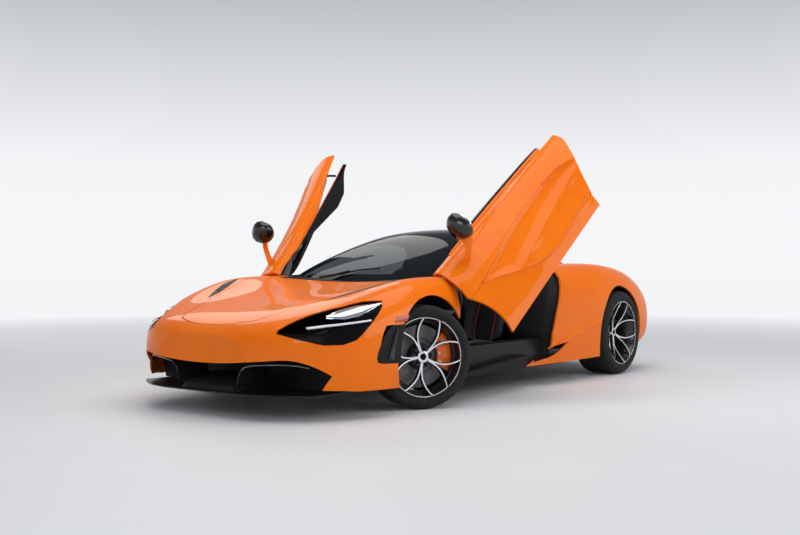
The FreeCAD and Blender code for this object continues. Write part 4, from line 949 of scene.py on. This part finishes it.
def patch(low, high, at, lift, thick, crown):
    """Plate between two edges on the body, standing lift off its surface, and crown more along its middle."""
    rings = []
    shares = spread(0.0, 1.0, 8)
    for t in spread(0.0, 1.0, 28):
        a, b = along(low, t), along(high, t)
        line = [tuple(p + (q - p) * share for p, q in zip(a, b)) for share in shares]
        outer = [at(*p, lift + crown * math.sin(math.pi * share)) for p, share in zip(line, shares)]
        rings.append(outer + [at(*p, lift - thick) for p in reversed(line)])
    return ring_mesh(rings)


def both_sides(bm):
    """The mesh with its mirror image added."""
    made = bmesh.ops.duplicate(bm, geom=bm.verts[:] + bm.edges[:] + bm.faces[:])["geom"]
    for item in made:
        if isinstance(item, bmesh.types.BMVert):
            item.co.x = -item.co.x
    bmesh.ops.reverse_faces(bm, faces=[item for item in made if isinstance(item, bmesh.types.BMFace)])
    return bm


lamp_white = plastic("lamp_white", (0.80, 0.82, 0.86), 0.25, 900.0, 0.05, coat=0.5)
lamp_chrome = metal("lamp_chrome", (0.82, 0.83, 0.85), 0.12, 60.0, 0.25)
marker_red = plastic("marker_red", (0.42, 0.045, 0.03), 0.15, 300.0, 0.2, coat=0.4)

# Piece, two edges (s and z or x), surface, lift, thickness, crown, material, slot, CAD nodes it replaces
LAID_ON = [
    ("lamp_surrounds",
     [(-997, 502), (-951, 474), (-859, 440), (-759, 440), (-677, 466), (-557, 560), (-440, 655)],
     [(-997, 511), (-944, 503), (-865, 499), (-808, 514), (-753, 536), (-614, 600), (-440, 668)],
     on_side, 1.5, 5.0, 0.0, gloss_black, "gloss_black", ()),
    ("day_lamps", [(-893, 529), (-815, 542), (-699, 554), (-559, 569)],
     [(-893, 538), (-815, 551), (-699, 563), (-559, 578)], on_side, 5.0, 9.0, 2.0, lamp_white, "lamp_clear", ()),
    ("head_lamps", [(-770, 596), (-693, 590), (-592, 608), (-436, 664)],
     [(-753, 612), (-665, 645), (-568, 670), (-434, 683)],
     on_side, -10.0, 26.0, 8.0, lamp_chrome, "lamp_clear", ("lamp_units",)),
    ("flank_creases", [(1640, 298), (1844, 322), (2071, 372), (2270, 434)],
     [(1650, 318), (1844, 398), (2071, 452), (2276, 476)], on_side, -1.6, 6.0, 10.0, body_paint, "body_paint", ()),
    ("side_markers", [(-392, 556), (-287, 560)], [(-366, 589), (-258, 598)],
     on_side, 1.5, 5.0, 1.0, marker_red, "lamp_red", ()),
    # The vent mouths are flat black plates over the openings: they stand for the black trim inside them, and their
    # darkness is partly painted shade for the openings' depth.
    ("vent_mouths",
     [(-505, 318), (-548, 326), (-556, 350), (-546, 385), (-518, 436), (-480, 488), (-444, 520), (-402, 543)],
     [(-363, 316), (-357, 360), (-355, 403), (-346, 443), (-332, 480), (-317, 515), (-302, 542)],
     on_side, 1.2, 5.0, 0.0, black_trim, "black_trim", ()),
    ("vent_vanes", [(-470, 345), (-452, 402), (-422, 470), (-392, 518)],
     [(-425, 340), (-414, 402), (-394, 470), (-372, 518)], on_side, 7.0, 7.0, 7.0, mirror_black, "gloss_black", ()),
    # The shoulder ducts are flat black plates over the slots: black duct walls, with the slots' dark depth painted in
    # as shade.
    ("shoulder_ducts", [(-560, 524), (-440, 553), (-300, 614), (-110, 718)],
     [(-540, 545), (-400, 632), (-270, 700), (-110, 738)], on_top, 1.0, 4.0, 0.0, black_trim, "black_trim", ()),
]
for name, low, high, surface, lift, thick, crown, material, slot, replaced in LAID_ON:
    plates = both_sides(patch(low, high, surface, lift, thick, crown))
    add_piece(name, plates, [material], "root", TO_FRAME, stands_for=replaced)


# Nose blade with its middle keel, and a raised shelf on each side of the mouth

# Front edge of the blade (x, s) and the crest line of the shelf beside the mouth (x, z)
NOSE_FRONT = [(0, -1092), (250, -1090), (370, -1086), (500, -1058), (618, -998), (700, -940), (783, -880)]
SHELF = [(262, 196), (268, 232), (286, 276), (322, 304), (380, 316), (470, 323), (560, 327), (640, 322), (700, 308)]
KEEL = [(-1040, 152), (-1024, 184), (-1000, 202), (-900, 232), (-760, 236), (-705, 152)]
BLADE_HALF, BLADE_BACK, SHELF_BACK = 752.0, -690.0, -780.0
KEEL_HALF, KEEL_FOOT = 262.0, 152.0


def blade_mesh():
    blade, keel, shelf = [], [], []
    for x in spread(0.0, BLADE_HALF, 60):
        front = max(lerp_table(NOSE_FRONT, x) + 4.0, -1090.0 + max(0.0, x - 610) * 0.62)
        blade.append([(x, BLADE_BACK, 140), (x, front + 16, 140), (x, front, 145), (x, front + 1, 151),
                      (x, front + 14, 153), (x, front + 60, 151), (x, BLADE_BACK, 151)])
    for x in spread(0.0, KEEL_HALF, 10):
        drop = 34.0 * step_up(x, 200.0, KEEL_HALF)
        keel.append([(x, s + drop * 0.4, max(KEEL_FOOT, z - drop)) for s, z in KEEL])
    for t in spread(0.0, 1.0, 40):
        x, z = along(SHELF, t)
        front = lerp_table(NOSE_FRONT, x) + 52.0
        shelf.append([(x, front, z), (x, front + 5, z + 3), (x, SHELF_BACK, z + 2), (x, SHELF_BACK, z - 5),
                      (x, front + 5, z - 6)])
    bm = ring_mesh(blade)
    skin_rings(bm, keel)
    skin_rings(bm, shelf, material=lambda j: 1 if j in (0, 4) else 0)
    return both_sides(facing_out(bm))


add_piece("nose_blade", blade_mesh(), [carbon_weave, alloy], "root", TO_FRAME, 35.0, ("front_splitter",))


# Mirrors

# Rings of the shell across the mirror: place, depth ahead of the glass, height
MIRROR_RINGS = [(-98, 14, 12), (-92, 34, 30), (-72, 62, 52), (-30, 82, 72), (30, 84, 76), (70, 66, 62), (92, 38, 36),
                (99, 14, 14)]
MIRROR_AT = Vector((985.0, 640.0, 905.0))
MIRROR_FOOT = Vector((842.0, 520.0, 705.0))
# Rings of the glass: depth, share of its size
GLASS_RINGS = [(30.0, 0.86), (36.5, 0.84), (37.5, 0.5), (38.0, 0.05)]
GLASS_SIDES = 36


def squared(value):
    """Sine or cosine bent towards a rounded square."""
    return math.copysign(abs(value) ** 0.75, value)


def mirror_mesh():
    """Big black shell open to the rear, its glass, and the orange arm."""
    shell, pane, arm = [], [], []
    for across, depth, high in MIRROR_RINGS:
        behind = 34.0 * min(1.0, high / 50.0)
        shell.append([MIRROR_AT + Vector((across * 0.86, cosine * (depth if cosine < 0 else behind),
                                          sine * 1.42 * high * (1.0 if sine > 0 else 0.86)))
                      for cosine, sine in circle(28)])
    for depth, share in GLASS_RINGS:
        pane.append([MIRROR_AT + Vector((74.0 * share * squared(cosine), depth, 80.0 * share * squared(sine) + 4.0))
                     for cosine, sine in circle(GLASS_SIDES)])
    for t in spread(0.0, 1.0, 14):
        at = MIRROR_FOOT.lerp(MIRROR_AT + Vector((-30, 0, -52)), t) + Vector((30, 20, 0)) * math.sin(math.pi * t)
        wide = 46.0 - 16.0 * math.sin(math.pi * min(1.0, t * 1.2)) + 10.0 * t
        arm.append([at + Vector((9.0 * sine + 3.0, wide * cosine, 0.0)) for cosine, sine in circle(16)])
    bm = ring_mesh(shell, pane, arm)
    for face in bm.faces:
        if len(face.verts) == GLASS_SIDES:
            face.material_index = 1
    return bm


mirror_glass = metal("mirror_glass", (0.75, 0.78, 0.82), 0.04, 20.0, 0.02)
for side in SIDES:
    add_piece("mirror_piece_" + side, mirror_mesh(), [mirror_black, mirror_glass, body_paint], "door_" + side,
              opened_place(side), stands_for=("mirror_" + side,))


# Dark door jambs ahead of the rear quarters (z, s), and the wipers

JAMB_EDGE = [(240, 1562), (300, 1572), (380, 1584), (560, 1676), (705, 1760), (800, 1818), (862, 1842)]


def jamb_mesh():
    rings = []
    for z in spread(JAMB_EDGE[0][0], JAMB_EDGE[-1][0], 32):
        s = lerp_table(JAMB_EDGE, z)
        outer = hull.point(s, hull.find(s, lambda p: p.z < z, 0.0, 6.0)).x - 26.0
        line = [(outer, s), (outer - 22, s + 3), (outer - 60, s - 22), (outer - 100, s - 26), (560.0, s - 10)]
        rings.append([(x, y, z) for x, y in line] + [(x, y + 7, z) for x, y in reversed(line)])
    return both_sides(ring_mesh(rings))


add_piece("door_jambs", jamb_mesh(), [black_trim], "root", TO_FRAME, 35.0)

wiper = bmesh.new()
for lift, radius, line in ((14.0, 6.0, ((-197, 408, 825), (-44, 453, 855), (122, 477, 869))),
                           (20.0, 8.0, ((-330, 330, 792), (-270, 372, 806), (-120, 432, 842)))):
    tube(wiper, smooth_path([(x, s, z + lift) for x, s, z in line], 5), radius)
add_piece("wiper", wiper, [black_trim], "root", TO_FRAME)


# Stage

FLOOR_FAR = 20.0


def floor_material():
    """Pale floor that takes the car's shadow, and far out goes over to the backdrop's tone."""
    colour = (0.80, 0.80, 0.80)
    mat, tree, bsdf = shader("pale_floor", colour, 0.6)
    tint(tree, bsdf, noise(tree, 1.5, 2.0), [(0.3, tuple(c * 0.98 for c in colour)), (0.7, colour)])
    away = tree.nodes.new("ShaderNodeVectorMath")
    away.operation = "LENGTH"
    tree.links.new(object_space(tree), away.inputs[0])
    distance = math_node(tree, "DIVIDE", away.outputs["Value"], FLOOR_FAR)
    fade = ramp(tree, distance, [(0.14, (0, 0, 0)), (0.62, (1, 1, 1))])
    path = tree.nodes.new("ShaderNodeLightPath")
    seen = math_node(tree, "MAXIMUM", path.outputs["Is Camera Ray"], path.outputs["Is Glossy Ray"])
    seen = math_node(tree, "MAXIMUM", seen, path.outputs["Is Transmission Ray"])
    glow = node(tree, "ShaderNodeEmission", Color=(0.90, 0.91, 0.93, 1.0), Strength=1.0)
    mix_surface(tree, math_node(tree, "MULTIPLY", fade, seen), bsdf.outputs[0], glow.outputs[0])
    return mat


bpy.ops.mesh.primitive_circle_add(vertices=96, radius=90.0, fill_type="NGON", location=(0.0, 0.0, -0.0005))
floor = bpy.context.object
floor.name = "floor"
floor.data.materials.append(floor_material())

scene = bpy.context.scene
scene.view_settings.view_transform = "Standard"
world = bpy.data.worlds.new("studio")
scene.world = world
world.use_nodes = True
sky = world.node_tree
background = sky.nodes["Background"]
direction = sky.nodes.new("ShaderNodeTexCoord").outputs["Generated"]
split_sky = sky.nodes.new("ShaderNodeSeparateXYZ")
sky.links.new(direction, split_sky.inputs[0])
shades = [(0.0, (0.92, 0.93, 0.95)), (0.10, (0.90, 0.91, 0.93)), (0.28, (0.46, 0.48, 0.52)),
          (0.45, (0.24, 0.26, 0.30)), (1.0, (0.30, 0.32, 0.36))]
sky.links.new(ramp(sky, split_sky.outputs[2], shades), background.inputs["Color"])
background.inputs["Strength"].default_value = 1.0


# Lamps: name, place, point aimed at, width, height, watts, colour
LAMPS = [
    ("roof_box", (1.0, -0.5, 5.0), (0.0, 0.0, 0.5), 6.0, 4.0, 170.0, (1.0, 1.0, 1.0)),
    ("nose_box", (4.5, -6.5, 3.6), (0.0, -1.0, 0.6), 4.0, 2.0, 75.0, (1.0, 1.0, 1.0)),
    ("side_box", (6.0, 1.5, 3.0), (0.5, 0.5, 0.7), 4.0, 2.0, 70.0, (1.0, 1.0, 1.0)),
    ("back_box", (-5.5, 3.0, 5.0), (0.0, 0.0, 0.8), 5.0, 3.0, 110.0, (1.0, 0.95, 0.88)),
]
for name, at, aim, width, height, watts, colour in LAMPS:
    data = bpy.data.lights.new(name, "AREA")
    data.shape = "RECTANGLE"
    data.size, data.size_y, data.energy, data.color = width, height, watts, colour
    lamp = bpy.data.objects.new(name, data)
    scene.collection.objects.link(lamp)
    lamp.location = at
    lamp.rotation_mode = "QUATERNION"
    lamp.rotation_quaternion = (Vector(aim) - Vector(at)).to_track_quat("-Z", "Y")

camera_data = bpy.data.cameras.new("camera")
camera = bpy.data.objects.new("camera", camera_data)
scene.collection.objects.link(camera)
camera_data.lens = CAMERA_LENS
camera_data.sensor_width = 36.0
camera_data.clip_end = 400.0
camera.location = CAMERA_AT
camera.rotation_euler = (math.pi / 2 + CAMERA_PITCH, 0.0, CAMERA_YAW)
scene.camera = camera
